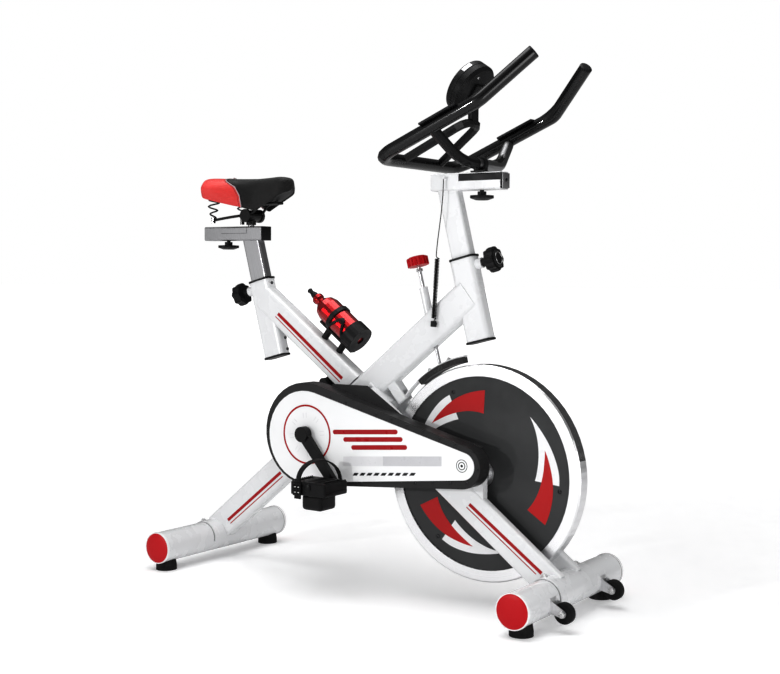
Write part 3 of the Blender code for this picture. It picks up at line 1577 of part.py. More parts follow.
def build_handlebar():
    slot = (STRUT_LOW[0] - 0.052, BAR_RAIL[1] + 0.01)
    body = post(
        "handlebar", HEAD_TOP, HEAD_LEAN, BAR_RAIL, BAR_RAIL_Z, slot, "frame_white", False
    )
    middle_z = (BAR_RAIL_Z[0] + BAR_RAIL_Z[1]) / 2
    opening = (middle_z + 0.001, BAR_RAIL_Z[1] - RAIL_WALL)
    window = rail_box("handlebar_rail_window", (0.742, BAR_RAIL[1] + 0.01), opening, 0, 0.06)
    carve(body, window)
    bar_slider()
    handlebar()
    console()
    place = upright_place(HEAD_TOP, HEAD_LEAN)
    height_knob("handlebar_height_knob", place, HEAD_KNOB_Z, 1, "head_knob_axis")
    clamp_knob("handlebar_slider_knob", BAR_CLAMP_X, BAR_RAIL_Z[0], "bar_clamp_axis")


def build_drive():
    flywheel()
    crank_set()
    belt()
    guard()
    pedal("right", -1, 0.0, -RIGHT_PEDAL_Y, 0.0)
    pedal("left", 1, math.pi, LEFT_PEDAL_Y, LEFT_PEDAL_TILT)


clear_scene()
PARTS = new_collection("indoor_spin_bike")
TOOLS = new_collection("cutters")
add_axes()
build_frame()
build_seat()
build_handlebar()
build_drive()
tension_control()
brake()
bottle()
bottle_cage()
clamp_holes()
lead()
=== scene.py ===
"""Looks of the indoor spin bike: camera, finishes, lead, marks, saddle cover, fittings and light."""

import json
import math
from contextlib import contextmanager

import bmesh
import bpy
from mathutils import Matrix, Vector


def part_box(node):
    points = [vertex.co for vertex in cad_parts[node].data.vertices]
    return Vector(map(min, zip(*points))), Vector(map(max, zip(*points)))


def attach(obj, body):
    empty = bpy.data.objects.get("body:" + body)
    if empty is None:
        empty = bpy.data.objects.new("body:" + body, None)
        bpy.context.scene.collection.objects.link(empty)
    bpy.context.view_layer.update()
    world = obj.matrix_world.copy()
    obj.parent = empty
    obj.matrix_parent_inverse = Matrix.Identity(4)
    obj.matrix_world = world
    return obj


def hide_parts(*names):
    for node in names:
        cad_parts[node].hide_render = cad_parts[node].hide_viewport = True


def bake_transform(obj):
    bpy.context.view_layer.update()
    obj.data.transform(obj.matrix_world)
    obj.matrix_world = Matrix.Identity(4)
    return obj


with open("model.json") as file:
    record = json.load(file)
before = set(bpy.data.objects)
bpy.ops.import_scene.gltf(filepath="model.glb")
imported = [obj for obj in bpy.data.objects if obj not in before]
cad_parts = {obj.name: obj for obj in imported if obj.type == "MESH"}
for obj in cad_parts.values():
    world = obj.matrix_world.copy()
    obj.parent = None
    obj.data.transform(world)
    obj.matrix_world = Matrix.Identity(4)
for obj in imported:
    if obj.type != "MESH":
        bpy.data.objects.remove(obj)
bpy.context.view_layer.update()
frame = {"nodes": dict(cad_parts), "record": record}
NODES = frame["nodes"]

# ---------------- places taken from the CAD


def middle(node):
    low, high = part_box(node)
    return (low + high) / 2


ORIGIN_X = middle("rear_foot_bar").x
WHEEL = middle("flywheel_rim")
CRANK = middle("crank_spindle")
GUARD_FACE_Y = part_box("guard_plate")[0].y
DISC_HALF_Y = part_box("flywheel_disc")[1].y
BEAM_SIDE_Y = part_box("front_beam")[1].y
LEG_SIDE_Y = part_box("fork_leg_left")[1].y
PLATE_SLOPE = math.radians(4.45)
SEAT_LEAN = math.radians(-15.2)
HEAD_LEAN = math.radians(-14.2)
TENSION_LEAN = math.radians(-15.0)
BOTTLE_LEAN = math.radians(-52.6)


def spot(x, y, z):
    """A point of the bike, with x measured from the rear foot bar's axis."""
    return Vector((x + ORIGIN_X, y, z))


def flat(x, z):
    """The same for a shape drawn in a plane along the bike."""
    return (x + ORIGIN_X, z)


def between(a, b, t):
    return a + (b - a) * t


# ---------------- camera

YAW = 0.603041
PITCH = 0.0510443
ROLL = 0.007181
EYE = (2.25526, -2.48447, 0.751185)
FOCAL_PIXELS = 1266.153
FRAME_WIDTH = 780
SENSOR = 36.0
NEAREST, FARTHEST = 0.05, 200.0


def add_camera():
    forward = Vector((
        -math.sin(YAW) * math.cos(PITCH),
        math.cos(YAW) * math.cos(PITCH),
        -math.sin(PITCH),
    ))
    level = Vector((math.cos(YAW), math.sin(YAW), 0.0))
    up = level.cross(forward)
    right = math.cos(ROLL) * level + math.sin(ROLL) * up
    above = -math.sin(ROLL) * level + math.cos(ROLL) * up
    place = Matrix((right, above, -forward)).transposed().to_4x4()
    place.translation = spot(*EYE)
    data = bpy.data.cameras.new("camera")
    data.sensor_width = SENSOR
    data.lens = FOCAL_PIXELS * SENSOR / FRAME_WIDTH
    data.clip_start = NEAREST
    data.clip_end = FARTHEST
    camera = bpy.data.objects.new("camera", data)
    camera.matrix_world = place
    bpy.context.scene.collection.objects.link(camera)
    bpy.context.scene.camera = camera


add_camera()

# ---------------- materials

LUMA = (0.2126, 0.7152, 0.0722)
DARK = 0.12
DARK_GLOSS = 0.2
FULL_GLOSS = 0.5
COAT_ROUGHNESS = 0.06
BEVEL_SAMPLES = 4
MIDDLE_BAND = (0.35, 0.65)
GRAIN_DEPTH = 0.14


def luma(colour):
    return sum(share * part for share, part in zip(LUMA, colour))


def dimmed(colour, share):
    return tuple(part * share for part in colour)


def add_node(tree, kind, inputs, **settings):
    """A shader node. For each of its sockets, inputs holds a value or the socket to link to it."""
    node = tree.nodes.new("ShaderNode" + kind)
    for name, value in settings.items():
        setattr(node, name, value)
    for name, value in inputs.items():
        if isinstance(value, bpy.types.NodeSocket):
            tree.links.new(value, node.inputs[name])
        else:
            node.inputs[name].default_value = value
    return node


class Finish:
    """A Principled material that is built up from noises in the object's own coordinates."""

    def __init__(self, name, colour, roughness, metallic=0.0, coat=0.0, rounded=0.0):
        self.material = bpy.data.materials.new(name)
        self.material.use_nodes = True
        self.material.diffuse_color = (*colour, 1.0)
        self.tree = self.material.node_tree
        self.shader = self.tree.nodes["Principled BSDF"]
        self.put("Base Color", (*colour, 1.0))
        self.put("Roughness", roughness)
        self.put("Metallic", metallic)
        self.put("Coat Weight", coat)
        self.put("Coat Roughness", COAT_ROUGHNESS)
        self.put("Specular IOR Level", FULL_GLOSS if luma(colour) > DARK else DARK_GLOSS)
        self.coordinates = self.node("TexCoord", {}).outputs["Object"]
        if rounded:
            bevel = self.node("Bevel", {"Radius": rounded}, samples=BEVEL_SAMPLES)
            self.link(bevel.outputs["Normal"], "Normal")

    def put(self, name, value):
        self.shader.inputs[name].default_value = value

    def link(self, source, name):
        self.tree.links.new(source, self.shader.inputs[name])

    def node(self, kind, inputs, **settings):
        return add_node(self.tree, kind, inputs, **settings)

    def placed(self, stretch=(1, 1, 1), turn=(0, 0, 0), centre=(0, 0, 0)):
        inputs = {"Vector": self.coordinates, "Location": centre, "Rotation": turn, "Scale": stretch}
        return self.node("Mapping", inputs, vector_type="TEXTURE").outputs["Vector"]

    def noise(self, scale, detail=3.0, stretch=(1, 1, 1), turn=(0, 0, 0)):
        inputs = {"Scale": scale, "Detail": detail, "Vector": self.placed(stretch, turn)}
        return self.node("TexNoise", inputs).outputs["Fac"]

    def cells(self, scale):
        inputs = {"Scale": scale, "Vector": self.placed()}
        return self.node("TexVoronoi", inputs, feature="DISTANCE_TO_EDGE").outputs["Distance"]

    def ramp(self, value, low, high, start, end):
        """value from start..end becomes low..high, held at both ends."""
        inputs = {"Value": value, "From Min": start, "From Max": end, "To Min": low, "To Max": high}
        return self.node("MapRange", inputs, clamp=True).outputs["Result"]

    def rough(self, value, low, high):
        self.link(self.ramp(value, low, high, *MIDDLE_BAND), "Roughness")

    def tint(self, value, other, start, end):
        """Mixes the colour so far towards other as value goes from start to end."""
        colour_in = self.shader.inputs["Base Color"]
        so_far = colour_in.links[0].from_socket if colour_in.links else tuple(colour_in.default_value)
        inputs = {"A": so_far, "B": (*other, 1.0), "Factor": self.ramp(value, 0.0, 1.0, start, end)}
        self.link(self.node("Mix", inputs, data_type="RGBA").outputs["Result"], "Base Color")

    def bump(self, value, strength, distance):
        """Raises the surface by value, on top of the bumps so far."""
        inputs = {"Height": value, "Strength": strength, "Distance": distance}
        normal_in = self.shader.inputs["Normal"]
        if normal_in.links:
            inputs["Normal"] = normal_in.links[0].from_socket
        self.link(self.node("Bump", inputs).outputs["Normal"], "Normal")

    def height(self):
        return self.node("SeparateXYZ", {"Vector": self.coordinates}).outputs["Z"]

    def distance(self, centre, share=(1.0, 1.0, 1.0)):
        """The distance from centre, with each axis counted by its share."""
        flat = self.node("VectorMath", {0: self.placed(centre=centre), 1: share}, operation="MULTIPLY")
        return self.node("VectorMath", {0: flat.outputs["Vector"]}, operation="LENGTH").outputs["Value"]

    def rings(self, centre, scale):
        """Fine concentric lines round an axle that lies along Y."""
        inputs = {"W": self.distance(centre, (1.0, 0.0, 1.0)), "Scale": scale, "Detail": 2.0}
        return self.node("TexNoise", inputs, noise_dimensions="1D").outputs["Fac"]


def powder_coat(name, colour, dull, grain=0.05, coat=0.35, roughness=(0.25, 0.29)):
    """Glossy powder coat: a faint orange peel, a slightly uneven gloss and a colour that turns towards the
    dull tone low down.
    """
    f = Finish(name, colour, roughness[0], coat=coat)
    f.tint(f.noise(4.0, 4.0), dull, 0.45, 0.9)
    # the colour turns towards dull in the lowest 0.22 m: on the white coats it is darker towards the bottom
    f.tint(f.ramp(f.height(), 1.0, 0.0, 0.02, 0.22), dull, 0.2, 1.6)
    f.rough(f.noise(26.0, 5.0), *roughness)
    f.bump(f.noise(700.0, 2.0), grain, 0.0004)
    return f.material


def moulded(name, colour, light, roughness=(0.36, 0.52), grain=1500.0):
    """Injection-moulded plastic with a spark-eroded grain and handling marks."""
    f = Finish(name, colour, roughness[0], rounded=0.0007)
    f.tint(f.noise(9.0, 6.0), light, 0.4, 0.85)
    f.rough(f.noise(38.0, 6.0), *roughness)
    f.bump(f.cells(grain), GRAIN_DEPTH, 0.0003)
    f.bump(f.noise(grain * 0.6, 3.0), GRAIN_DEPTH * 0.6, 0.0003)
    return f.material


def rubber(name, colour):
    """Matt rubber, paler where it is worn."""
    f = Finish(name, colour, 0.75, rounded=0.0008)
    f.tint(f.noise(14.0, 6.0), (0.024, 0.0235, 0.023), 0.48, 0.85)
    f.rough(f.noise(60.0, 4.0), 0.62, 0.86)
    f.bump(f.noise(900.0, 4.0), 0.25, 0.0004)
    return f.material


def satin_metal(name, colour, roughness, stretch, scale=900.0, turn=(0, 0, 0)):
    """Brushed metal, its lines drawn along the longest side of stretch."""
    f = Finish(name, colour, roughness[0], metallic=1.0, rounded=0.0006)
    lines = f.noise(scale, 2.0, stretch, turn)
    f.tint(lines, dimmed(colour, 0.72), 0.42, 0.8)
    f.tint(f.noise(12.0, 5.0), dimmed(colour, 0.86), 0.5, 0.8)
    f.rough(lines, *roughness)
    f.bump(lines, 0.06, 0.0002)
    f.put("Anisotropic", 0.35)
    return f.material


def turned_metal(name, colour, centre):
    """Metal faced on a lathe: fine rings round the axle."""
    f = Finish(name, colour, 0.16, metallic=1.0, rounded=0.001)
    lines = f.rings(centre, 1300.0)
    f.tint(lines, dimmed(colour, 0.82), 0.4, 0.75)
    f.tint(f.noise(5.0, 4.0), dimmed(colour, 0.88), 0.45, 0.8)
    f.rough(lines, 0.16, 0.34)
    f.bump(lines, 0.05, 0.0002)
    return f.material


def leather(name, colour, light, sheen=0.15, roughness=(0.4, 0.58)):
    """Coated leather: small closed cells, fine pores and broad soft creases."""
    f = Finish(name, colour, roughness[0])
    grain = f.cells(620.0)
    f.tint(f.ramp(grain, 1.0, 0.0, 0.0, 0.12), light, 0.2, 1.4)
    f.tint(f.noise(16.0, 5.0), light, 0.52, 0.95)
    f.rough(f.noise(45.0, 5.0), *roughness)
    f.bump(f.ramp(grain, 0.0, 1.0, 0.0, 0.22), 0.38, 0.0005)
    f.bump(f.noise(1700.0, 2.0), 0.12, 0.0003)
    f.bump(f.noise(34.0, 3.0), 0.1, 0.002)
    f.put("Sheen Weight", sheen)
    return f.material


def printed(name, colour, roughness=(0.26, 0.36), coat=0.12):
    """Printed or laid-on film: a thin flat colour with a slightly uneven gloss."""
    f = Finish(name, colour, roughness[0], coat=coat)
    f.tint(f.noise(30.0, 5.0), dimmed(colour, 0.93), 0.45, 0.85)
    f.rough(f.noise(60.0, 4.0), *roughness)
    f.bump(f.noise(900.0, 2.0), 0.04, 0.0002)
    return f.material


def felt(name, colour):
    """Pressed felt with loose fibres."""
    f = Finish(name, colour, 0.95)
    fibres = f.noise(420.0, 8.0, (1, 1, 3))
    f.tint(fibres, (0.09, 0.088, 0.085), 0.5, 0.8)
    f.rough(fibres, 0.88, 1.0)
    f.bump(fibres, 0.7, 0.0012)
    f.put("Sheen Weight", 0.3)
    return f.material


def cast_disc(name):
    """Dark hammered paint on a cast disc, with faint turning rings beneath it."""
    f = Finish(name, (0.034, 0.035, 0.036), 0.4, rounded=0.0008)
    f.tint(f.noise(7.0, 5.0), (0.05, 0.051, 0.052), 0.42, 0.85)
    f.rough(f.noise(50.0, 5.0), 0.34, 0.5)
    f.bump(f.rings(WHEEL, 260.0), 0.05, 0.0004)
    f.bump(f.cells(520.0), 0.1, 0.0004)
    f.put("Coat Weight", 0.15)
    return f.material


def lacquered_bottle(name):
    """Clear red lacquer over brushed aluminium."""
    f = Finish(name, (0.4, 0.006, 0.01), 0.24, metallic=0.92, coat=0.7, rounded=0.0006)
    lines = f.noise(700.0, 2.0, (1, 1, 30), (0.0, BOTTLE_LEAN, 0.0))
    f.tint(lines, (0.26, 0.003, 0.006), 0.4, 0.8)
    f.rough(lines, 0.2, 0.34)
    f.bump(lines, 0.04, 0.0002)
    f.put("Anisotropic", 0.5)
    return f.material


WHITE = (0.74, 0.745, 0.755)
WHITE_DULL = (0.71, 0.715, 0.725)
BLACK = (0.0045, 0.0045, 0.005)
RED = (0.36, 0.003, 0.007)
ALONG_X, ALONG_Y, ALONG_Z = (60, 1, 1), (1, 30, 1), (1, 1, 60)
POST_TURN = (0, SEAT_LEAN, 0)
FINISHES = {
    "frame_white": powder_coat("frame_white_coat", WHITE, WHITE_DULL),
    "cap_red": moulded(
        "cap_red_plastic", (0.46, 0.006, 0.012), (0.52, 0.012, 0.018), (0.34, 0.48), 900.0
    ),
    "plastic_black": moulded("plastic_black_grain", BLACK, (0.016, 0.016, 0.017)),
    "rubber_black": rubber("rubber_black_worn", (0.008, 0.008, 0.0085)),
    "chrome": turned_metal("rim_turned_steel", (0.82, 0.82, 0.83), WHEEL),
    "steel": satin_metal("steel_satin", (0.62, 0.62, 0.63), (0.28, 0.46), (1, 1, 40)),
    "disc_grey": cast_disc("disc_hammered_grey"),
    "guard_white": powder_coat(
        "guard_gloss_white", (0.86, 0.865, 0.87), (0.8, 0.8, 0.81), 0.04, 0.8, (0.12, 0.22)
    ),
    "grip_black": powder_coat(
        "bar_satin_black", (0.007, 0.007, 0.0075), (0.014, 0.014, 0.0145), 0.08, 0.1, (0.34, 0.44)
    ),
    "saddle_leather": leather("leather_black", (0.006, 0.006, 0.006), (0.014, 0.014, 0.014)),
    "bottle_red": lacquered_bottle("bottle_red_lacquer"),
    "felt_black": felt("felt_black_fibre", (0.02, 0.02, 0.02)),
}
EXTRA = {
    "print_red": printed("print_red", RED),
    "blade_red": printed("blade_red", (0.42, 0.003, 0.005), (0.3, 0.42), 0.2),
    "print_white": printed("print_white", (0.8, 0.8, 0.81)),
    "print_grey": printed("print_grey", (0.56, 0.56, 0.58)),
    "print_pale": printed("print_pale", (0.7, 0.7, 0.715)),
    "print_black": printed("print_black", (0.02, 0.02, 0.021)),
    "leather_red": leather("leather_red", (0.66, 0.03, 0.026), (0.72, 0.05, 0.045), 0.1, (0.34, 0.48)),
    "piping_grey": leather("piping_grey", (0.42, 0.3, 0.32), (0.5, 0.4, 0.42), 0.1, (0.4, 0.55)),
    "thread": printed("thread_dark", (0.05, 0.05, 0.05), (0.7, 0.9), 0.0),
    "strut_steel": satin_metal("strut_steel", (0.26, 0.26, 0.265), (0.3, 0.42), ALONG_Y, 700.0),
    "post_silver": satin_metal(
        "post_silver", (0.4, 0.4, 0.41), (0.3, 0.44), ALONG_Z, 700.0, POST_TURN
    ),
    "rail_silver": satin_metal("rail_silver", (0.36, 0.36, 0.365), (0.34, 0.5), ALONG_X, 700.0),
    "screw_black": satin_metal(
        "screw_black_oxide", (0.05, 0.05, 0.052), (0.32, 0.46), (1, 1, 1), 500.0
    ),
    "screw_bright": satin_metal("screw_zinc", (0.66, 0.66, 0.66), (0.22, 0.36), (1, 1, 1), 500.0),
    "guard_dark": moulded("guard_dark_grain", (0.022, 0.022, 0.0225), (0.034, 0.034, 0.035)),
    "glass": printed("display_glass", (0.03, 0.034, 0.036), (0.05, 0.1), 1.0),
    "lcd": printed("display_grey_green", (0.3, 0.34, 0.3), (0.25, 0.35), 0.6),
    "bracket_zinc": satin_metal("bracket_zinc", (0.8, 0.8, 0.81), (0.3, 0.42), (1, 1, 30)),
    "bar_gloss": powder_coat(
        "bar_gloss_black", BLACK, (0.01, 0.01, 0.0105), 0.05, 0.45, (0.22, 0.3)
    ),
    "frame_black": powder_coat(
        "saddle_frame_black", (0.006, 0.006, 0.0065), (0.012, 0.012, 0.0125), 0.08, 0.2, (0.32, 0.46)
    ),
}
OTHER_FINISH = {
    "guard_housing": "guard_dark",
    "saddle_frame": "frame_black",
    "seat_post": "post_silver",
    "seat_slider": "rail_silver",
    "wheel_bracket_right": "bracket_zinc",
    "wheel_bracket_left": "bracket_zinc",
}


def clad_frame():
    """Gives each CAD node its finish."""
    slots = {row["node"]: row["material_slot"] for row in frame["record"]["subparts"]}
    for name, obj in NODES.items():
        other = OTHER_FINISH.get(name)
        obj.data.materials.clear()
        obj.data.materials.append(EXTRA[other] if other else FINISHES[slots[name]])
        for polygon in obj.data.polygons:
            polygon.material_index = 0


clad_frame()

# ---------------- mesh helpers

MM = 0.001


def made(name, bm, body, *materials, slot=None, smooth=40.0):
    """Puts a mesh in the scene, gives it its materials and has it ride on a body."""
    mesh = bpy.data.meshes.new(name)
    bmesh.ops.recalc_face_normals(bm, faces=bm.faces)
    bm.to_mesh(mesh)
    bm.free()
    for material in materials:
        mesh.materials.append(material)
    if smooth:
        mesh.shade_smooth()
        mesh.set_sharp_from_angle(angle=math.radians(smooth))
    obj = bpy.data.objects.new(name, mesh)
    bpy.context.scene.collection.objects.link(obj)
    if body:
        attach(obj, body)
    return obj


@contextmanager
def piece(name, body, material, smooth=40.0):
    """An empty mesh to add to, which then becomes a piece of one material on a body."""
    bm = bmesh.new()
    yield bm
    made(name, bm, body, material, smooth=smooth)


def add_prism(bm, outline, y_back, y_front, index=0):
    """A flat shape given by (x, z) points, between two planes across the bike."""
    back = [bm.verts.new((x, y_back, z)) for x, z in outline]
    front = [bm.verts.new((x, y_front, z)) for x, z in outline]
    faces = [bm.faces.new(front), bm.faces.new(back[::-1])]
    count = len(outline)
    for i in range(count):
        j = (i + 1) % count
        faces.append(bm.faces.new((back[i], back[j], front[j], front[i])))
    for face in faces:
        face.material_index = index


def add_strip(bm, inner, outer, y_back, y_front, closed=False):
    """A flat band between two lines of equally many (x, z) points."""
    rows = []
    for line in (inner, outer):
        rows.append([bm.verts.new((x, y_back, z)) for x, z in line])
        rows.append([bm.verts.new((x, y_front, z)) for x, z in line])
    in_back, in_front, out_back, out_front = rows
    count = len(inner)
    for i in range(count if closed else count - 1):
        j = (i + 1) % count
        bm.faces.new((in_front[i], in_front[j], out_front[j], out_front[i]))
        bm.faces.new((in_back[i], out_back[i], out_back[j], in_back[j]))
        bm.faces.new((in_back[i], in_back[j], in_front[j], in_front[i]))
        bm.faces.new((out_back[i], out_front[i], out_front[j], out_back[j]))
    if not closed:
        for i in (0, count - 1):
            bm.faces.new((in_back[i], in_front[i], out_front[i], out_back[i]))


def circle(centre, radius, steps, start=0.0, end=360.0):
    """(x, z) points on a circle or, with angles in degrees, on a part of it."""
    count = steps if end - start >= 360.0 else steps + 1
    angles = [math.radians(between(start, end, i / steps)) for i in range(count)]
    return [(centre[0] + radius * math.cos(a), centre[1] + radius * math.sin(a)) for a in angles]


END_STEPS = 10


def round_bar(start, end, half):
    """A straight bar with round ends, between two (x, z) points."""
    heading = math.degrees(math.atan2(end[1] - start[1], end[0] - start[0]))
    first = circle(start, half, END_STEPS, heading + 90, heading + 270)
    return first + circle(end, half, END_STEPS, heading - 90, heading + 90)


def square_bar(start, end, half):
    """A straight bar with square ends, between two (x, z) points."""
    dx, dz = end[0] - start[0], end[1] - start[1]
    length = math.hypot(dx, dz)
    side = (-dz / length * half, dx / length * half)
    return [
        (start[0] + side[0], start[1] + side[1]),
        (start[0] - side[0], start[1] - side[1]),
        (end[0] - side[0], end[1] - side[1]),
        (end[0] + side[0], end[1] + side[1]),
    ]


def smooth_line(points, steps):
    """A Catmull-Rom line through points of any dimension."""
    points = [Vector(p) for p in points]
    padded = [points[0] * 2 - points[1], *points, points[-1] * 2 - points[-2]]
    line = []
    for i in range(len(points) - 1):
        a, b, c, d = padded[i : i + 4]
        for k in range(steps):
            t = k / steps
            second = 2 * a - 5 * b + 4 * c - d
            third = 3 * b - a - 3 * c + d
            line.append(0.5 * (2 * b + (c - a) * t + second * t**2 + third * t**3))
    line.append(points[-1])
    return line


def turn_angles(sides):
    return [2 * math.pi * k / sides for k in range(sides)]


def add_tube(bm, path, radius, sides, caps=True):
    """A round tube along a path."""
    last = len(path) - 1
    rings = []
    side = None
    for i, point in enumerate(path):
        heading = (path[min(i + 1, last)] - path[max(i - 1, 0)]).normalized()
        if side is None:
            side = heading.orthogonal().normalized()
        side = (side - heading * side.dot(heading)).normalized()
        up = heading.cross(side)
        ring = [point + (side * math.cos(a) + up * math.sin(a)) * radius for a in turn_angles(sides)]
        rings.append([bm.verts.new(corner) for corner in ring])
    join_rings(bm, rings, sides)
    if caps:
        bm.faces.new(rings[0][::-1])
        bm.faces.new(rings[-1])


def join_rings(bm, rings, sides, index=0):
    """Faces from each ring to the next, a ring of one point being a tip."""
    for near, far in zip(rings, rings[1:]):
        for k in range(sides):
            j = (k + 1) % sides
            corners = [ring[i % len(ring)] for ring, i in ((near, k), (near, j), (far, j), (far, k))]
            corners = list(dict.fromkeys(corners))
            if len(corners) > 2:
                bm.faces.new(corners).material_index = index


def add_turned(bm, profile, place, sides):
    """A profile of (radius, height) points in millimetres, turned about the local Z of place."""
    rings = []
    for radius, height in profile:
        angles = turn_angles(sides) if radius else [0.0]
        ring = [Vector((radius * math.cos(a), radius * math.sin(a), height)) * MM for a in angles]
        rings.append([bm.verts.new(place @ corner) for corner in ring])
    join_rings(bm, rings, sides)


def add_box(bm, size, place, round_by=0.0):
    """A box centred on place, its size and the rounding of its edges in millimetres."""
    verts = bmesh.ops.create_cube(bm, size=1.0)["verts"]
    bmesh.ops.scale(bm, vec=Vector(size) * MM, verts=verts)
    bmesh.ops.transform(bm, matrix=place, verts=verts)
    if round_by:
        edges = list({edge for vert in verts for edge in vert.link_edges})
        bmesh.ops.bevel(bm, geom=edges, offset=round_by * MM, segments=2, affect="EDGES", profile=0.7)


def facing(point, direction):
    """A place at point with its local Z along direction."""
    turn = Vector(direction).to_track_quat("Z", "Y").to_matrix().to_4x4()
    return Matrix.Translation(point) @ turn


SCREW_HEAD = ((1.0, 0.35), (0.9, 0.75), (0.62, 1.0), (0.48, 1.0))
SCREW_SOCKET = ((0.48, 1.0), (0.44, 0.3), (0.0, 0.22))
SCREW_SUNK = -0.3


def add_screw(bm, place, radius, height):
    """A button-head screw with a six-sided socket, standing on the local XY plane of place."""
    head = [(radius * across, height * up) for across, up in SCREW_HEAD]
    socket = [(radius * across, height * up) for across, up in SCREW_SOCKET]
    add_turned(bm, [(radius, SCREW_SUNK), *head], place, 18)
    add_turned(bm, socket, place, 6)


# ---------------- the sensor lead

LEAD_DIAMETER = 0.0023
COIL_REACH = 0.00465
COIL_TURNS = 41
TURN_POINTS = 14
LEAD_Y = -0.0272
COIL_TOP = spot(0.6935, LEAD_Y, 0.79)
COIL_BASE = spot(0.685, LEAD_Y, 0.64)
LEAD_TOP = spot(0.708, LEAD_Y, 0.9642)
COIL_GAP = 0.001
COIL_EASE = 0.75
SLOWEST = 0.1
END_SPREAD = 5.0
WIRE_STEPS = 26
LOW_HANDLE = 0.05
HIGH_HANDLE = 0.07
TAIL = 0.0015


def coil_points(slant, side, across):
    """The curly length: a helix whose first and last turns lean over into the straight ends."""
    count = COIL_TURNS * TURN_POINTS
    length = (COIL_TOP - COIL_BASE).length - 2 * COIL_GAP
    speeds = []
    for i in range(count):
        turns = (i + 0.5) / TURN_POINTS
        t = min(1.0, min(turns, COIL_TURNS - turns) / COIL_EASE)
        speeds.append(math.sin(between(SLOWEST, 1.0, t) * math.pi / 2))
    drops = [1.0 + END_SPREAD * (1.0 - s) for s in speeds]
    total = sum(drops)
    points = []
    angle = 0.0
    down = 0.0
    for i in range(count + 1):
        turn = side * math.cos(angle) + across * math.sin(angle)
        points.append(COIL_TOP - slant * (COIL_GAP + down) + turn * COIL_REACH)
        if i < count:
            angle += 2 * math.pi / TURN_POINTS * speeds[i]
            down += drops[i] / total * length
    return points


def lead_path():
    """The lead's centre line: the straight length from the bar's rail, the coil and a short tail."""
    slant = (COIL_TOP - COIL_BASE).normalized()
    side = Vector((0, -1, 0))
    across = slant.cross(side)
    coil = coil_points(slant, side, across)
    end = coil[0]
    low_handle = end + slant * LOW_HANDLE
    high_handle = LEAD_TOP - Vector((0.0, 0.0, HIGH_HANDLE))
    wire = []
    for i in range(WIRE_STEPS):
        t = i / WIRE_STEPS
        wire.append(
            LEAD_TOP * (1 - t) ** 3
            + high_handle * 3 * t * (1 - t) ** 2
            + low_handle * 3 * t**2 * (1 - t)
            + end * t**3
        )
    return [*wire, *coil, coil[-1] - slant * TAIL]


def add_lead():
    path = lead_path()
    bm = bmesh.new()
    add_tube(bm, path, LEAD_DIAMETER / 2, 8)
    lead = made("sensor_lead", bm, None, FINISHES["rubber_black"], slot="rubber_black", smooth=60.0)
    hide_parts("lead_coil", "lead_wire")
    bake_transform(lead)


add_lead()

# ---------------- printed marks

FILM = 0.00025
BEAM_LINES = ((0.215, 0.6452, 0.4176, 0.4922, 0.0043), (0.2068, 0.6382, 0.4104, 0.4835, 0.0012))
REAR_LINES = ((0.048, 0.101, 0.226, 0.244, 0.004), (0.0565, 0.0935, 0.232, 0.2345, 0.0013))
LEG_LINES = ((0.8003, 0.2308, 0.985, 0.0995, 0.004), (0.793, 0.2235, 0.9715, 0.0958, 0.0012))


def add_lines():
    """The paired red lines along the frame, on both sides of the bike."""
    for name, side_y, lines in (
        ("front_beam_lines", BEAM_SIDE_Y, BEAM_LINES),
        ("rear_beam_lines", BEAM_SIDE_Y, REAR_LINES),
        ("leg_lines", LEG_SIDE_Y, LEG_LINES),
    ):
        with piece(name, "frame", EXTRA["print_red"], None) as bm:
            for sign in (-1, 1):
                for x0, z0, x1, z1, half in lines:
                    outline = square_bar(flat(x0, z0), flat(x1, z1), half)
                    add_prism(bm, outline, sign * (side_y - FILM), sign * (side_y + FILM))


GUARD_CENTRE = (CRANK.x, CRANK.z - 0.002)
GUARD_BARS = (
    (0.4562, 0.3724, 0.6308, 0.386),
    (0.4873, 0.3571, 0.6447, 0.3699),
    (0.5108, 0.3401, 0.6572, 0.3526),
)
GUARD_BAR_HALF = 0.0055
BAND_PARTS = 12
BAND_START, BAND_END = (0.4822, 0.2942), 0.7557
BAND_HIGH = 0.0222
BAND_SPLIT = 0.34
TICKS = 8
DASHES = 9
DASH_START = (0.512, 0.276)
DASH_STEP = 0.02
DASH_LEAN = 0.0028
DASH_WIDE = 0.0125
BADGE = flat(0.8085, 0.324)


def add_ring(bm, centre, inner, outer, steps, back, front):
    add_strip(bm, circle(centre, inner, steps), circle(centre, outer, steps), back, front, closed=True)


def add_red_marks(back, front):
    """The ring round the crank and the three bars."""
    with piece("guard_red_marks", "frame", EXTRA["print_red"], None) as bm:
        add_ring(bm, GUARD_CENTRE, 0.0676, 0.0722, 96, back, front)
        for x0, z0, x1, z1 in GUARD_BARS:
            add_prism(bm, round_bar(flat(x0, z0), flat(x1, z1), GUARD_BAR_HALF), back, front)


def add_grey_band(back, front):
    """A slanting band, paler in its rear third."""
    bm = bmesh.new()
    slope = math.tan(PLATE_SLOPE + 0.011)
    for i in range(BAND_PARTS):
        t0, t1 = i / BAND_PARTS, (i + 1) / BAND_PARTS
        corners = []
        for t, up in ((t0, 0.0), (t1, 0.0), (t1, 1.0), (t0, 1.0)):
            x = between(BAND_START[0], BAND_END, t)
            z = BAND_START[1] + (x - BAND_START[0]) * slope + BAND_HIGH * up
            corners.append(flat(x, z))
        add_prism(bm, corners, back, front, index=0 if t0 < BAND_SPLIT else 1)
    made("guard_grey_band", bm, "frame", EXTRA["print_pale"], EXTRA["print_grey"], smooth=None)


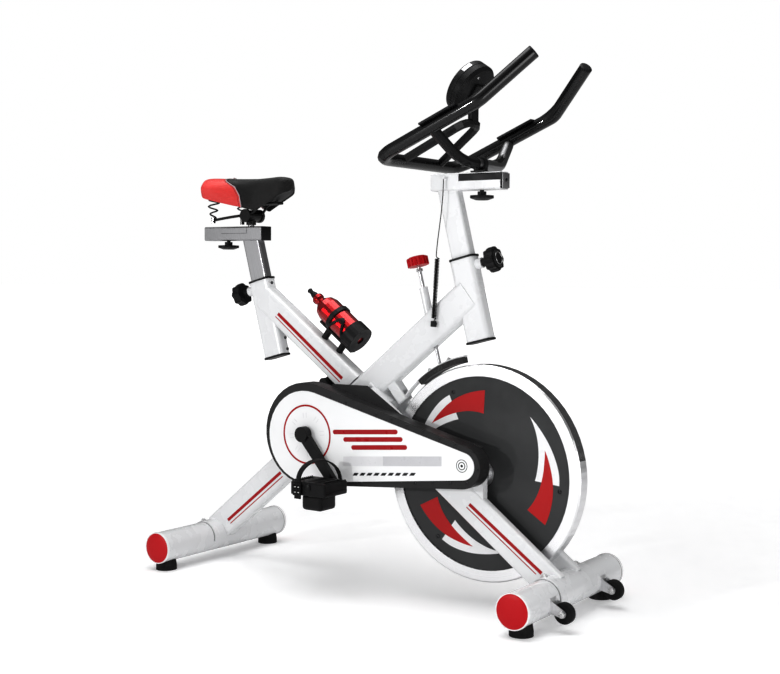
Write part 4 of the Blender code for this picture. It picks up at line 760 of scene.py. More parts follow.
def add_ticks(back, front):
    """Pairs of short radial lines inside the ring."""
    with piece("guard_grey_ticks", "frame", EXTRA["print_pale"], None) as bm:
        for i in range(TICKS):
            a = math.radians(360 / TICKS * i + 8)
            for offset in (-0.0045, 0.0045):
                along = Vector((math.cos(a), math.sin(a)))
                side = Vector((-along.y, along.x)) * offset
                start, end = (Vector(GUARD_CENTRE) + along * r + side for r in (0.04, 0.0525))
                add_prism(bm, square_bar(start, end, 0.0008), back, front)


def add_black_marks(back, front):
    """A row of plain leaning dashes and a plain round badge."""
    slope = math.tan(PLATE_SLOPE + 0.018)
    with piece("guard_black_marks", "frame", EXTRA["print_black"], None) as bm:
        for i in range(DASHES):
            x = DASH_START[0] + i * DASH_STEP
            z = DASH_START[1] + (x - 0.5045) * slope
            outline = [
                flat(x - DASH_LEAN, z - 0.003),
                flat(x - DASH_LEAN + DASH_WIDE, z - 0.002),
                flat(x + DASH_LEAN + DASH_WIDE, z + 0.005),
                flat(x + DASH_LEAN, z + 0.004),
            ]
            add_prism(bm, outline, back, front)
        add_ring(bm, BADGE, 0.013, 0.0146, 40, back, front)
        add_ring(bm, BADGE, 0.0072, 0.0092, 32, back, front)
        add_prism(bm, circle(BADGE, 0.0032, 20), back, front)


def polar_line(points, turn):
    """A smooth line through (radius, degrees) points round the wheel's axle, turned by turn degrees."""
    return [polar(p.x, p.y, turn) for p in smooth_line(points, 6)]


def polar(radius, degrees, turn):
    a = math.radians(degrees + turn)
    return (WHEEL.x + radius * math.cos(a), WHEEL.z + radius * math.sin(a))


WHITE_OUT = ((0.1828, 49.2), (0.1842, 32.8), (0.189, 17.8), (0.194, 5.4), (0.195, -2.8))
WHITE_IN = ((0.1828, 48.6), (0.1711, 37.7), (0.1587, 26.3), (0.1447, 11.6), (0.135, -1.6))
RED_OUT = ((0.1717, 23.0), (0.1746, 10.6), (0.1784, 0.4), (0.1821, -9.6), (0.1895, -31.5))
RED_IN = ((0.1717, 22.6), (0.1618, 13.2), (0.1528, 0.7), (0.146, -12.3), (0.1365, -31.0))
DISC_SCREW = (0.197, -6.3)


def add_disc_marks():
    """Three red blades with white edges and a screw beside each, on both faces of the flywheel."""
    white, red, screws = bmesh.new(), bmesh.new(), bmesh.new()
    for sign in (-1, 1):
        face = sign * DISC_HALF_Y
        back, film, top = face - sign * FILM, face + sign * FILM, face + sign * 2 * FILM
        for turn in (0, 120, 240):
            add_strip(white, polar_line(WHITE_IN, turn), polar_line(WHITE_OUT, turn), back, film)
            add_strip(red, polar_line(RED_IN, turn), polar_line(RED_OUT, turn), back, top)
            x, z = polar(*DISC_SCREW, turn)
            add_screw(screws, facing((x, face, z), (0, sign, 0)), 4.8, 2.0)
    made("disc_white_edges", white, "flywheel", EXTRA["print_white"], smooth=None)
    made("disc_red_blades", red, "flywheel", EXTRA["blade_red"], smooth=None)
    made("disc_screws", screws, "flywheel", EXTRA["screw_black"])


add_lines()
for add_marks in (add_red_marks, add_grey_band, add_ticks, add_black_marks):
    add_marks(GUARD_FACE_Y + FILM, GUARD_FACE_Y - FILM)
add_disc_marks()

# ---------------- saddle

SADDLE_REAR_X = -0.007
SADDLE_NOSE_X = 0.243


def saddle_section(x):
    """Half width, top, skirt edge and inner floor of the saddle at x, as the CAD has them."""
    t = (x - SADDLE_REAR_X) / (SADDLE_NOSE_X - SADDLE_REAR_X)
    broad = 0.5 + 0.5 * math.cos(math.pi * min(1.0, max(0.0, (t - 0.12) / 0.55)))
    half = between(0.03, 0.098, broad)
    ends = min(1.0, math.sqrt(max(0.0, 1 - (max(0.0, 0.16 - t) / 0.16) ** 2)))
    nose = min(1.0, math.sqrt(max(0.0, 1 - (max(0.0, t - 0.9) / 0.1) ** 2)))
    half *= max(0.3, ends) * max(0.35, nose)
    top = 0.992 - 0.006 * math.sin(math.pi * t) - 0.01 * max(0.0, (t - 0.85) / 0.15) ** 2
    top -= 0.012 * max(0.0, (0.1 - t) / 0.1) ** 2
    edge = between(0.944, 0.905, min(1.0, t / 0.6)) + 0.048 * max(0.0, (t - 0.62) / 0.38)
    floor = min(top - 0.02, max(edge + 0.002, 0.928))
    return half, top, edge, floor


def saddle_profile(x):
    """One side of the section at x, from the top's middle to the floor's middle."""
    half, top, edge, floor = saddle_section(x)
    corners = [
        (0.0, top),
        (0.45 * half, top - 0.001),
        (0.8 * half, top - 0.007),
        (0.97 * half, top - 0.022),
        (half, between(top, edge, 0.62)),
        (0.955 * half, edge + 0.003),
        (0.89 * half, edge),
        (0.82 * half, edge + 0.004),
        (0.74 * half, floor),
        (0.0, floor),
    ]
    return smooth_line(corners, 4)


SKIRT_POINT = 24
COVER_POINTS = 37
REAR_ROWS, NOSE_ROWS = 18, 30
SEAM = (
    (0.0, 0.058), (0.2, 0.064), (0.36, 0.08), (0.5, 0.101), (0.66, 0.1115), (0.82, 0.114), (1.0, 0.1105),
)


def seam_x(share):
    """Where the seam between the red rear and the black front lies, by share of the way down the side."""
    for (s0, x0), (s1, x1) in zip(SEAM, SEAM[1:]):
        if share <= s1:
            return between(x0, x1, (share - s0) / (s1 - s0))
    return SEAM[-1][1]


def saddle_grid():
    """Rows of points from rear to nose; the row after the rear ones lies on the seam."""
    rows = []
    for i in range(REAR_ROWS + NOSE_ROWS + 1):
        row = []
        for k in range(COVER_POINTS):
            split = seam_x(min(1.0, k / SKIRT_POINT))
            if i <= REAR_ROWS:
                x = between(SADDLE_REAR_X, split, (i / REAR_ROWS) ** 1.5)
            else:
                t = (i - REAR_ROWS) / NOSE_ROWS
                x = between(split, SADDLE_NOSE_X, 1 - (1 - t) ** 1.45)
            row.append((x, saddle_profile(x)[k]))
        rows.append(row)
    return rows


COUNT = 2 * COVER_POINTS - 2
UNDER_POINT = SKIRT_POINT + 3
END_RINGS = ((0.72, 0.0016), (0.4, 0.0026))
END_TIP = 0.003
RED_PART, BLACK_PART, SHELL_PART = range(3)


def add_cover_end(bm, loop, step, part):
    """Closes one end of the cover with two smaller rings and a tip, each a little further out."""
    centre = sum((v.co for v in loop), Vector()) / COUNT
    rings = [loop]
    for scale, out in END_RINGS:
        shift = Vector((step * out, 0, 0))
        rings.append([bm.verts.new(centre + (v.co - centre) * scale + shift) for v in loop])
    rings.append([bm.verts.new(centre + Vector((step * END_TIP, 0, 0)))])
    join_rings(bm, rings, COUNT, part)


def add_saddle():
    """The padded cover with its seam, and the plastic shell that closes it below."""
    bm = bmesh.new()
    loops = []
    for row in saddle_grid():
        right = [bm.verts.new(spot(x, -p.x, p.y)) for x, p in row]
        left = [bm.verts.new(spot(x, p.x, p.y)) for x, p in row[1:-1]]
        loops.append(right + left[::-1])
    join_rings(bm, loops, COUNT)
    bm.faces.ensure_lookup_table()
    for i, face in enumerate(bm.faces):
        row, k = divmod(i, COUNT)
        under = UNDER_POINT <= k < COUNT - UNDER_POINT
        face.material_index = SHELL_PART if under else (RED_PART if row < REAR_ROWS else BLACK_PART)
    add_cover_end(bm, loops[0], -1, RED_PART)
    add_cover_end(bm, loops[-1], 1, BLACK_PART)
    materials = (EXTRA["leather_red"], FINISHES["saddle_leather"], FINISHES["plastic_black"])
    cover = made("saddle_cover", bm, None, *materials, slot="saddle_leather", smooth=None)
    cover.data.shade_smooth()
    swell(cover)
    add_seam(cover)
    finer = cover.modifiers.new("finer", "SUBSURF")
    finer.levels = 1
    finer.render_levels = 1
    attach(cover, "seat_carriage")
    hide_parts("saddle")


MOST_SWELL = 0.0035
SWELL_FRAMES = 20
TOP_HOLD = 0.15
PADDING = {
    "use_pressure": True,
    "uniform_pressure_force": 4.0,
    "quality": 5,
    "tension_stiffness": 25,
    "compression_stiffness": 25,
    "shear_stiffness": 10,
    "bending_stiffness": 2.0,
    "vertex_group_mass": "held",
}


def swell(cover):
    """The padding presses the cover outwards; the skirt and the underside are held."""
    before = [v.co.copy() for v in cover.data.vertices]
    held = cover.vertex_groups.new(name="held")
    for i in range(len(before)):
        k = i % COUNT
        down = min(k, COUNT - k)
        held.add([i], 1.0 if down >= SKIRT_POINT - 2 else TOP_HOLD, "REPLACE")
    cloth = cover.modifiers.new("padding", "CLOTH")
    for name, value in PADDING.items():
        setattr(cloth.settings, name, value)
    cloth.settings.effector_weights.gravity = 0.0
    cloth.collision_settings.use_collision = False
    cloth.point_cache.frame_start = 1
    cloth.point_cache.frame_end = SWELL_FRAMES
    scene = bpy.context.scene
    for step in range(1, SWELL_FRAMES + 1):
        scene.frame_set(step)
    graph = bpy.context.evaluated_depsgraph_get()
    after = [v.co.copy() for v in cover.evaluated_get(graph).data.vertices]
    cover.modifiers.remove(cloth)
    scene.frame_set(1)
    for vert, old, new in zip(cover.data.vertices, before, after):
        move = new - old
        if move.length > MOST_SWELL:
            move *= MOST_SWELL / move.length
        vert.co = old + move
    cover.data.update()


SEAM_SUNK = 0.0012
ON_COVER = 0.0002
PIPING_RADIUS = 0.0013
THREAD_RADIUS = 0.00035
THREAD_RISE = 0.0001
SHORTEST_STITCH = 0.0008
STITCH_SHIFT = 0.45


def add_seam(cover):
    """Sinks the seam row, lays its piping in it and a row of stitches on each side."""
    verts = cover.data.vertices
    start = REAR_ROWS * COUNT
    skirt = SKIRT_POINT + 1
    order = [*range(skirt, -1, -1), *range(COUNT - 1, COUNT - skirt - 1, -1)]
    line = [verts[start + k].co.copy() for k in order]
    normals = [verts[start + k].normal.copy() for k in order]
    for k in order:
        verts[start + k].co -= verts[start + k].normal * SEAM_SUNK
    cover.data.update()
    path = smooth_line([p - n * ON_COVER for p, n in zip(line, normals)], 2)
    with piece("saddle_piping", "seat_carriage", EXTRA["piping_grey"], 60.0) as bm:
        add_tube(bm, path, PIPING_RADIUS, 8)
    with piece("saddle_stitches", "seat_carriage", EXTRA["thread"], 60.0) as bm:
        for shift in (-COUNT, COUNT):
            row = [verts[start + shift + k] for k in order]
            points = [v.co + v.normal * ON_COVER for v in row]
            fine = smooth_line([between(a, b, STITCH_SHIFT) for a, b in zip(line, points)], 4)
            for a, b in list(zip(fine, fine[2:]))[::3]:
                if (b - a).length >= SHORTEST_STITCH:
                    rise = (a - verts[0].co).normalized() * THREAD_RISE
                    add_tube(bm, [a, between(a, b, 0.5) + rise, b], THREAD_RADIUS, 5)


add_saddle()

# ---------------- small fittings

CARRIAGE = "handlebar_carriage"
OUT_RIGHT = (0, -1, 0)


def at(x, z, tilt=0.0, y=0.0):
    """A place in the bike, turned by tilt about +Y, x measured from the rear foot bar's axis."""
    return Matrix.Translation(spot(x, y, z)) @ Matrix.Rotation(tilt, 4, "Y")


def moved(place, x=0.0, y=0.0, z=0.0):
    """place shifted by millimetres along its own axes."""
    return place @ Matrix.Translation(Vector((x, y, z)) * MM)


def turned_by(place, degrees, axis):
    return place @ Matrix.Rotation(math.radians(degrees), 4, axis)


def rounded_path(points, radius, steps=6):
    """Straight runs joined by arcs of one radius."""
    points = [Vector(p) for p in points]
    line = [points[0]]
    for before, corner, after in zip(points, points[1:], points[2:]):
        come = (before - corner).normalized()
        go = (after - corner).normalized()
        half = come.angle(go) / 2
        centre = corner + (come + go).normalized() * (radius / math.sin(half))
        start = corner + come * (radius / math.tan(half)) - centre
        end = corner + go * (radius / math.tan(half)) - centre
        turn = start.angle(end)
        for k in range(steps + 1):
            t = k / steps
            mixed = start * math.sin((1 - t) * turn) + end * math.sin(t * turn)
            line.append(centre + mixed / math.sin(turn))
    line.append(points[-1])
    return line


GUARD_EDGE_Y = -0.0985
GUARD_SCREWS = (
    (0.4394, 0.4534), (0.4862, 0.4434), (0.5299, 0.4329), (0.5752, 0.4232), (0.6174, 0.4134),
    (0.6603, 0.4036), (0.7044, 0.3925), (0.749, 0.3802), (0.7907, 0.3687), (0.8338, 0.3583),
    (0.8492, 0.3192), (0.8219, 0.2862), (0.7786, 0.2833), (0.7324, 0.2786), (0.6852, 0.2731),
)
TUBE_SCREWS = ((0.24, 0.586), (0.247, 0.558))


def add_frame_screws():
    """The row of screws round the guard's edge and two screws on the seat tube's foot."""
    with piece("frame_screws", "frame", EXTRA["screw_black"]) as bm:
        for x, z in GUARD_SCREWS:
            add_screw(bm, facing(spot(x, GUARD_EDGE_Y, z), OUT_RIGHT), 3.4, 1.4)
        for x, z in TUBE_SCREWS:
            add_screw(bm, facing(spot(x, -BEAM_SIDE_Y, z), OUT_RIGHT), 4.2, 1.8)


def add_hex_bolt(bm, place, radius, high, washer=1.55):
    """A hexagon head on a round washer, with the screw's end standing out of it."""
    flat = radius * washer
    top = 1.4 + high
    end = radius * 0.52
    add_turned(bm, [(0, 0), (flat, 0), (flat, 1.1), (flat * 0.96, 1.4), (0, 1.4)], place, 24)
    add_turned(bm, [(radius, 1.2), (radius, top - 0.6), (radius * 0.88, top), (0, top)], place, 6)
    tail = [(end, top - 0.2), (end, top + 1.6), (end * 0.7, top + 2.2), (0, top + 2.2)]
    add_turned(bm, tail, place, 14)


REAR_BAR_X, FRONT_BAR_X = 0.0, 1.0115
BAR_Z = 0.058
BAR_BOLTS = (
    (1.001, 0.083, FRONT_BAR_X),
    (1.001, -0.07, FRONT_BAR_X),
    (-0.008, -0.052, REAR_BAR_X),
    (-0.008, 0.052, REAR_BAR_X),
)
BAR_BOLT_Z = 0.0965
ROLLER = (1.077, 0.122, 0.042)
ROLLER_HALF = 0.0155


def add_bar_bolts():
    """The bolts that hold the two foot bars to the frame, and the transport wheels' axle bolts."""
    with piece("foot_bar_bolts", "frame", EXTRA["screw_bright"]) as bm:
        for x, y, bar_x in BAR_BOLTS:
            up = Vector((x - bar_x, 0.0, BAR_BOLT_Z - BAR_Z)).normalized()
            add_hex_bolt(bm, facing(spot(x, y, BAR_BOLT_Z + 0.001), up), 5.8, 3.6)
        for sign in (-1, 1):
            for out in (-1, 1):
                y = sign * ROLLER[1] + out * ROLLER_HALF
                add_hex_bolt(bm, facing(spot(ROLLER[0], y, ROLLER[2]), (0, out, 0)), 6.0, 2.6, 1.3)


BAR_COAT_HALF = 0.2237
BAR_COAT_RADIUS = 0.0383
WRAPS = ((REAR_BAR_X, 0.06), (FRONT_BAR_X, 0.088))
WRAP_INNER, WRAP_EDGE, WRAP_OUTER = 0.0405, 0.041, 0.0415


def bar_arc(x, y, radius, below):
    """An arc over a foot bar, from so many degrees below level on one side to as many on the other."""
    return [spot(px, y, pz) for px, pz in circle((x, BAR_Z), radius, 40, -below, 180 + below)]


def add_bar_coats():
    """The paint on the round foot bars and on the folded plates over them, with the plates' rolled edges."""
    with piece("foot_bar_coats", "frame", FINISHES["frame_white"], 60.0) as bm:
        for x in (REAR_BAR_X, FRONT_BAR_X):
            ends = [spot(x, y, BAR_Z) for y in (-BAR_COAT_HALF, BAR_COAT_HALF)]
            add_tube(bm, ends, BAR_COAT_RADIUS, 80, caps=False)
    with piece("wrap_coats", "frame", FINISHES["frame_white"], 50.0) as bm:
        for x, half in WRAPS:
            centre = (x + ORIGIN_X, BAR_Z)
            inner = circle(centre, WRAP_INNER, 56, -10, 190)
            outer = circle(centre, WRAP_OUTER, 56, -10, 190)
            add_strip(bm, inner, outer, -half - 0.0004, half + 0.0004)
            for side in (-1, 1):
                add_tube(bm, bar_arc(x, side * half, WRAP_EDGE, 10), 0.0009, 8)
    with piece("wrap_gaps", "frame", EXTRA["screw_black"], 60.0) as bm:
        for x, half in WRAPS:
            for side in (-1, 1):
                add_tube(bm, bar_arc(x, side * (half + 0.0013), 0.0384, 8), 0.0006, 6)


BAR_END_Y = 0.23
CAP_DOME = ((36.8, -0.6), (36.8, 0.6), (35.0, 1.6), (24.0, 2.8), (12.0, 3.4), (0, 3.6))
CAP_RIM = ((36.6, 0.4), (37.8, 1.2), (39.0, 1.0), (39.6, -1.0), (39.6, -6.0), (38.8, -6.6))
CAP_GAP = ((38.4, -7.4), (38.6, -7.0), (38.6, -6.4), (38.4, -6.0))


def add_cap_discs():
    """A red dome in a white rim at each end of both foot bars, with a dark gap behind the rim."""
    for name, profile, material in (
        ("foot_cap_domes", CAP_DOME, FINISHES["cap_red"]),
        ("foot_cap_rims", CAP_RIM, FINISHES["guard_white"]),
        ("foot_cap_gaps", CAP_GAP, EXTRA["screw_black"]),
    ):
        with piece(name, "frame", material) as bm:
            for x in (REAR_BAR_X, FRONT_BAR_X):
                for sign in (-1, 1):
                    end = facing(spot(x, sign * BAR_END_Y, BAR_Z), (0, sign, 0))
                    add_turned(bm, profile, end, 64)


CONSOLE = at(0.762, 1.168, math.radians(-56.0))
CONSOLE_R = 62.6
SHELL = (
    (30.0, -20.8), (56.0, -19.0), (60.6, -13.4), (CONSOLE_R, -11.2), (CONSOLE_R, 1.6),
    (61.9, 2.2), (61.9, 3.2), (CONSOLE_R, 3.8), (CONSOLE_R, 15.0), (61.6, 17.2),
    (59.6, 18.6), (55.6, 18.6), (53.2, 17.8), (52.2, 15.4),
)
GLASS = ((52.6, 14.4), (52.6, 15.8), (51.8, 16.2), (0, 16.2))
KEY = ((6.4, 0), (6.4, 1.2), (5.4, 2.0), (0, 2.4))
DISPLAY_BARS = ((22.5, -16.0, 18.0), (22.5, 12.0, 22.0), (12.5, -10.0, 30.0), (3.0, 4.0, 40.0))
SHELL_SCREWS = ((34.0, 26.0), (34.0, -26.0), (-40.0, 16.0), (-40.0, -16.0))
TAB_SPANS = 6


def add_console():
    """The display's shell with its cooling ribs, glass, display, keys and screws."""
    with piece("console_shell", CARRIAGE, FINISHES["plastic_black"], 32.0) as bm:
        add_turned(bm, SHELL, CONSOLE, 72)
        for k in range(10):
            rib = turned_by(CONSOLE, 196 + 7.0 * k, "Z")
            add_box(bm, (2.2, 1.6, 21.0), moved(rib, CONSOLE_R - 0.2, 0, -3.0), 0.4)
        for y in (-23.25, 23.25):
            add_box(bm, (30.0, 2.0, 2.6), moved(CONSOLE, -20.0, y, -20.8), 0.6)
    with piece("console_glass", CARRIAGE, EXTRA["glass"], 30.0) as bm:
        add_turned(bm, GLASS, CONSOLE, 72)
    with piece("console_lcd", CARRIAGE, EXTRA["lcd"], 30.0) as bm:
        add_box(bm, (34.0, 58.0, 1.0), moved(CONSOLE, 13.0, 0, 16.4), 0.3)
    with piece("console_lcd_bars", CARRIAGE, EXTRA["print_black"], None) as bm:
        for x, y, width in DISPLAY_BARS:
            add_box(bm, (1.8, width, 0.4), moved(CONSOLE, x, y, 17.0))
    with piece("console_keys", CARRIAGE, EXTRA["print_grey"]) as bm:
        for y in (-19.0, 0.0, 19.0):
            add_turned(bm, KEY, moved(CONSOLE, -26.0, y, 16.0), 24)
    back = turned_by(CONSOLE, 180, "X")
    with piece("console_screws", CARRIAGE, EXTRA["screw_bright"]) as bm:
        for x, y in SHELL_SCREWS:
            add_screw(bm, moved(back, x, y, 18.4), 3.6, 2.6)
        add_screw(bm, moved(back, 0.0, 0.0, 28.0), 5.0, 2.2)


def add_console_tab():
    """A plain pale tab bent round the display's rim."""
    low, high = 5.0, 14.8
    inner, outer = CONSOLE_R - 1.0, CONSOLE_R + 0.3
    section = ((inner, low), (outer, low), (outer, high), (inner, high))
    spans = []
    with piece("console_tab", CARRIAGE, EXTRA["print_white"], None) as bm:
        for k in range(TAB_SPANS + 1):
            a = math.radians(between(-58.0, -34.0, k / TAB_SPANS))
            corners = [Vector((r * math.cos(a), r * math.sin(a), height)) * MM for r, height in section]
            spans.append([bm.verts.new(CONSOLE @ corner) for corner in corners])
        join_rings(bm, spans, len(section))
        bm.faces.new(spans[0])
        bm.faces.new(spans[-1][::-1])


ARM_TIP = (0.987, 0.124, 1.212)
ARM_BEND = (0.885, 0.17, 1.115)
REAR_CORNER = (0.625, 0.17, 1.005)
BAR_BEND = 0.042
BAR_COAT = 0.0149
STRUT_LOW = (0.79, 0.085, 0.9965)
STRUT_TOP = (0.768, 0.17, 1.062)
STRUT_BEND = 0.045
SLEEVE_START_Y = -0.022
SLEEVE_RADIUS = 0.013
SLEEVE_SHARE = 0.84
SLEEVE_EDGE = ((12.4, -3.0), (13.4, -2.6), (13.4, 0.4), (12.4, 0.8))
ARM_PLUG = ((14.8, -1.6), (15.1, 0), (14.9, 1.6), (13.6, 2.8), (7.0, 3.4), (0, 3.5))


def add_bar_coat():
    """The gloss black paint on the handlebar's tube, from one arm's end round to the other."""
    corners = [ARM_TIP, ARM_BEND, REAR_CORNER]
    right = [spot(x, -y, z) for x, y, z in corners]
    left = [spot(x, y, z) for x, y, z in corners[::-1]]
    with piece("handlebar_coat", CARRIAGE, EXTRA["bar_gloss"], 60.0) as bm:
        add_tube(bm, rounded_path(right + left, BAR_BEND, 10), BAR_COAT, 32)


def add_bar_fittings():
    """The bare half of the cross strut, its clamp line, the arms' end plugs and the slider's end plate."""
    x, y, z = STRUT_LOW
    low = spot(x, y, z)
    start = spot(x, SLEEVE_START_Y, z)
    top = between(low, spot(*STRUT_TOP), SLEEVE_SHARE)
    with piece("strut_sleeve", CARRIAGE, EXTRA["strut_steel"], 50.0) as bm:
        add_tube(bm, rounded_path([start, low, top], STRUT_BEND), SLEEVE_RADIUS, 28)
    with piece("bar_plugs", CARRIAGE, FINISHES["plastic_black"]) as bm:
        add_turned(bm, SLEEVE_EDGE, facing(start, (0, 1, 0)), 32)
        for sign in (-1, 1):
            tip = spot(ARM_TIP[0], sign * ARM_TIP[1], ARM_TIP[2])
            bend = spot(ARM_BEND[0], sign * ARM_BEND[1], ARM_BEND[2])
            add_turned(bm, ARM_PLUG, facing(tip, tip - bend), 36)
    with piece("slider_end_plate", CARRIAGE, EXTRA["rail_silver"]) as bm:
        add_box(bm, (1.6, 31.0, 33.0), at(0.8556, 0.958), 0.4)
    with piece("slider_end_screw", CARRIAGE, EXTRA["screw_black"]) as bm:
        add_screw(bm, facing(spot(0.8563, 0.0, 0.959), (1, 0, 0)), 4.5, 2.0)


RAIL_SIDE_Y = 0.0191


def add_seat_fittings():
    """The plug in the seat rail's front, the folded joint along its sides and a screw on the seat tube."""
    with piece("seat_rail_plug", "seat_post", FINISHES["plastic_black"]) as bm:
        add_box(bm, (2.4, 37.6, 35.6), at(0.1588, 0.848), 1.0)
    with piece("seat_rail_joint", "seat_post", EXTRA["screw_black"], None) as bm:
        for y in (-RAIL_SIDE_Y, RAIL_SIDE_Y):
            add_box(bm, (0.9, 0.5, 17.6), at(0.1097, 0.857, 0.0, y))
            add_box(bm, (87.0, 0.5, 0.9), at(0.0662, 0.8484, 0.0, y))
    with piece("seat_tube_screw", "frame", EXTRA["screw_black"]) as bm:
        add_screw(bm, facing(spot(0.1935, -0.018, 0.723), (0.35, -1, 0)), 4.0, 1.6)


KNOB_CAP = ((20.5, -0.6), (20.5, 1.0), (18.0, 3.6), (16.0, 4.4), (14.8, 3.8), (0, 4.2))
KNOB_RING = ((15.0, 3.6), (14.6, 4.6), (13.4, 4.6), (13.0, 3.6))
TENSION_CAP = ((21.5, 9.6), (21.5, 11.0), (19.0, 12.4), (12.0, 13.0), (0, 13.2))
KNOB_RIBS = 8
TENSION_RIBS = 28
KNOB_REACH = 85.5


def add_knob_fittings():
    """Grip ribs and cap inlays on the height knobs, and a ribbed cap on the tension knob."""
    for name, place, sign, drop, body in (
        ("seat_knob_cap", at(0.144, 0.731, SEAT_LEAN), -1, -21.4, "seat_height_knob"),
        ("handlebar_knob_cap", at(0.7475, 0.787, HEAD_LEAN), 1, -24.2, "handlebar_height_knob"),
    ):
        outer = turned_by(moved(place, sign * KNOB_REACH, 0, drop), 90 * sign, "Y")
        with piece(name, body, FINISHES["plastic_black"]) as bm:
            add_turned(bm, KNOB_CAP, outer, 48)
            for k in range(KNOB_RIBS):
                rib = turned_by(outer, 360 / KNOB_RIBS * k, "Z")
                add_box(bm, (5.2, 2.6, 16.0), moved(rib, 26.2, 0, -11.0), 0.8)
        with piece(name + "_ring", body, EXTRA["screw_bright"]) as bm:
            add_turned(bm, KNOB_RING, outer, 48)
    knob = at(0.622, 0.776, TENSION_LEAN)
    with piece("tension_knob_cap", "tension_knob", FINISHES["cap_red"]) as bm:
        add_turned(bm, TENSION_CAP, knob, 48)
        for k in range(TENSION_RIBS):
            rib = turned_by(knob, 360 / TENSION_RIBS * k, "Z")
            add_box(bm, (2.0, 1.4, 16.8), moved(rib, 24.7, 0, 0), 0.4)


CAGE_TEETH = 11
TREADS = 4
PEDALS = (
    ("right", -1, 0.46199, 0.25475, -0.167, -0.12, 0.0),
    ("left", 1, 0.28201, 0.46925, 0.139, 0.092, -30.0),
)
END_CAP = ((9.8, 0), (9.8, 1.6), (8.4, 2.8), (0, 3.0))
AXLE_NUT = ((6.2, 0), (9.8, 0), (9.8, 1.8), (8.8, 2.4), (6.2, 2.4), (6.2, 0))
DUST_CAP = ((11.5, -0.4), (11.5, 1.2), (10.0, 2.2), (5.8, 2.2), (5.0, 0.8), (0, 0.8))


def add_pedal_fittings(side, sign, axle):
    """Teeth and treads on a pedal's cage, its end cap and the toe strap's buckle."""
    body = "pedal_" + side
    black = FINISHES["plastic_black"]
    cage = moved(axle, z=-4.0)
    with piece("pedal_teeth_" + side, body, black) as bm:
        for end in (-1, 1):
            for k in range(CAGE_TEETH):
                across = between(-36.0, 36.0, k / (CAGE_TEETH - 1))
                tooth = turned_by(moved(cage, end * 48.5, across, 16.0), 45, "X")
                add_box(bm, (3.0, 3.2, 3.2), tooth, 0.3)
            add_box(bm, (2.6, 80.0, 5.0), moved(cage, end * 50.2, 0, -8.0), 0.8)
        for k in range(TREADS):
            across = between(-26.0, 26.0, k / (TREADS - 1))
            add_box(bm, (50.0, 3.0, 1.6), moved(cage, 0, across, 16.3), 0.5)
    with piece("pedal_end_cap_" + side, body, black) as bm:
        outside = facing(moved(axle, y=sign * 43.8).translation, (0, sign, 0))
        add_turned(bm, END_CAP, outside, 32)
    buckle = moved(axle, -27.0, sign * 49.0, -6.0)
    with piece("strap_buckle_" + side, body, black) as bm:
        for x in (-10.0, 0.0, 10.0):
            add_box(bm, (2.2, 3.2, 26.0), moved(buckle, x), 0.6)
        for z in (-12.5, 0.0, 12.5):
            add_box(bm, (22.2, 3.0, 2.4), moved(buckle, 0, 0, z), 0.6)
    with piece("strap_buckle_pins_" + side, body, EXTRA["screw_bright"]) as bm:
        for x in (-5.0, 5.0):
            for z in (-6.2, 6.2):
                add_box(bm, (4.6, 1.0, 2.2), moved(buckle, x, sign * 0.8, z), 0.3)


def add_crank_fittings():
    """The fittings of both pedals, the nuts that hold their axles and the cap over the crank's spindle."""
    for side, sign, x, z, pedal_y, _, tilt in PEDALS:
        add_pedal_fittings(side, sign, at(x, z, math.radians(tilt), pedal_y))
    for side, sign, x, z, _, nut_y, _ in PEDALS:
        with piece("axle_nut_" + side, "crank", EXTRA["screw_bright"]) as bm:
            add_turned(bm, AXLE_NUT, facing(spot(x, nut_y, z), (0, sign, 0)), 6)
    spindle_end = Vector((CRANK.x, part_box("crank_spindle")[0].y, CRANK.z))
    with piece("crank_dust_cap", "crank", EXTRA["screw_black"]) as bm:
        add_turned(bm, DUST_CAP, facing(spindle_end, OUT_RIGHT), 40)


WHEEL_AXLE = (0.811, 0, 0.297)
BRAKE_BOLTS = ((0.704, 0.566), (0.656, 0.526))
LEAF_RADIUS = 0.2716


def add_brake_fittings():
    """The two bolts on the brake's leaf."""
    with piece("brake_bolts", "brake", EXTRA["screw_bright"]) as bm:
        for x, z in BRAKE_BOLTS:
            out = Vector((x - WHEEL_AXLE[0], 0, z - WHEEL_AXLE[2])).normalized()
            add_hex_bolt(bm, facing(spot(*WHEEL_AXLE) + out * LEAF_RADIUS, out), 4.8, 3.0, 1.35)


def add_bottle_fittings():
    """Ribs on the bottle's collar."""
    place = at(0.455, 0.587, BOTTLE_LEAN)
    with piece("bottle_collar", "bottle", FINISHES["bottle_red"]) as bm:
        for z in (155.5, 158.5, 161.5):
            add_turned(bm, [(13.8, z), (14.7, z + 0.5), (14.7, z + 1.2), (13.6, z + 1.8)], place, 40)


add_frame_screws()
add_bar_bolts()
add_bar_coats()
add_cap_discs()
add_console()
add_console_tab()
add_bar_coat()
add_bar_fittings()
add_seat_fittings()
add_knob_fittings()
add_crank_fittings()
add_brake_fittings()
add_bottle_fittings()

# ---------------- light and floor

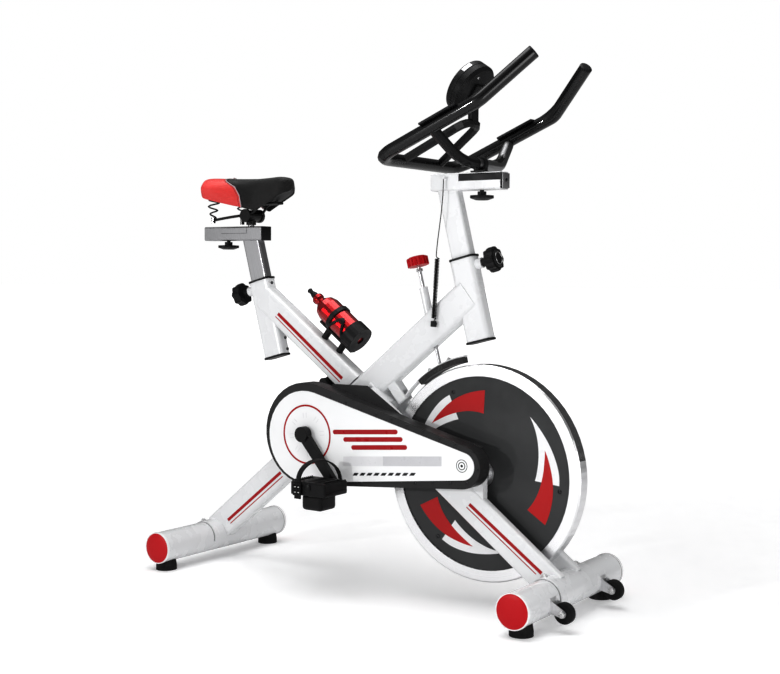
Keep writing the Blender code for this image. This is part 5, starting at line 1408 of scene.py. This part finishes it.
LAMPS = (
    ("key", (-1.35, -3.7, 1.0), (0.1, 0.0, 0.5), 0.14, 44.0),
    ("fill", (1.9, -1.25, 0.45), (0.45, -0.05, 0.1), 0.9, 13.0),
    ("top", (-0.1, -0.3, 3.0), (0.0, 0.0, 0.0), 2.4, 66.0),
)
FLOOR_RADIUS = 60.0
FLOOR_THICK = 0.002
FLOOR_DROP = 0.0022
FLOOR_GLOW = (0.2, 0.92)
GLOW_SPAN = (0.9, 4.5)
GLOW_ON_BIKE = 0.25
ROOM_BASE = 0.08
BACKDROP = 1.0
GAMMA = 0.8
SOFT_BOXES = (
    ((0.0, 0.0, 1.0), 0.5, 0.92, 0.5),
    ((-0.5, -0.84, 0.2), 0.66, 0.93, 0.34),
    ((0.93, 0.2, 0.3), 0.8, 0.96, 0.45),
)


def add_lamp(name, place, target, size, power):
    data = bpy.data.lights.new(name, "AREA")
    data.shape = "RECTANGLE"
    data.size = size
    data.size_y = size
    data.energy = power
    light = bpy.data.objects.new(name, data)
    light.location = place
    light.rotation_mode = "QUATERNION"
    light.rotation_quaternion = (Vector(target) - Vector(place)).to_track_quat("-Z", "Y")
    bpy.context.scene.collection.objects.link(light)


def add_floor():
    """A wide pale floor that glows more far out, so that it meets the backdrop without a line."""
    bm = bmesh.new()
    add_prism(bm, circle((0.0, 0.0), FLOOR_RADIUS, 96), 0.0, FLOOR_THICK)
    for vert in bm.verts:
        x, y, z = vert.co
        vert.co = Vector((x, z, y - FLOOR_DROP))
    f = Finish("floor_pale", (0.9, 0.9, 0.905), 0.65)
    f.tint(f.noise(3.0, 3.0), (0.88, 0.88, 0.885), 0.4, 0.8)
    f.rough(f.noise(20.0, 3.0), 0.55, 0.75)
    f.put("Specular IOR Level", DARK_GLOSS)
    f.put("Emission Color", (1.0, 1.0, 1.0, 1.0))
    glow = f.ramp(f.distance((0, 0, 0)), *FLOOR_GLOW, *GLOW_SPAN)
    seen = f.node("LightPath", {}).outputs["Is Camera Ray"]
    share = f.ramp(seen, GLOW_ON_BIKE, 1.0, 0.0, 1.0)
    strength = f.node("Math", {0: glow, 1: share}, operation="MULTIPLY")
    f.link(strength.outputs["Value"], "Emission Strength")
    made("floor", bm, None, f.material, smooth=None)


def room_strength(tree):
    """A dim room with three soft boxes: overhead, on the rider's right and ahead of the bike."""
    look = add_node(tree, "TexCoord", {}).outputs["Generated"]
    total = ROOM_BASE
    for direction, start, end, power in SOFT_BOXES:
        toward = Vector(direction).normalized()
        dot = add_node(tree, "VectorMath", {0: look, 1: toward}, operation="DOT_PRODUCT")
        span = {"Value": dot.outputs["Value"], "From Min": start, "From Max": end, "To Max": power}
        box = add_node(tree, "MapRange", span, interpolation_type="SMOOTHSTEP")
        inputs = {0: box.outputs["Result"], 1: total}
        total = add_node(tree, "Math", inputs, operation="ADD").outputs["Value"]
    return total


def add_light():
    """The room, a white backdrop, a low key light, a fill from the front and a broad top light."""
    world = bpy.data.worlds.new("studio")
    bpy.context.scene.world = world
    world.use_nodes = True
    tree = world.node_tree
    background = tree.nodes["Background"]
    background.inputs["Color"].default_value = (1.0, 1.0, 1.0, 1.0)
    seen = add_node(tree, "LightPath", {}).outputs["Is Camera Ray"]
    mix = add_node(tree, "Mix", {"Factor": seen, "A": room_strength(tree), "B": BACKDROP})
    tree.links.new(mix.outputs["Result"], background.inputs["Strength"])
    for lamp in LAMPS:
        add_lamp(*lamp)


add_floor()
add_light()
scene_view = bpy.context.scene.view_settings
scene_view.view_transform = "Standard"
scene_view.look = "None"
scene_view.gamma = GAMMA
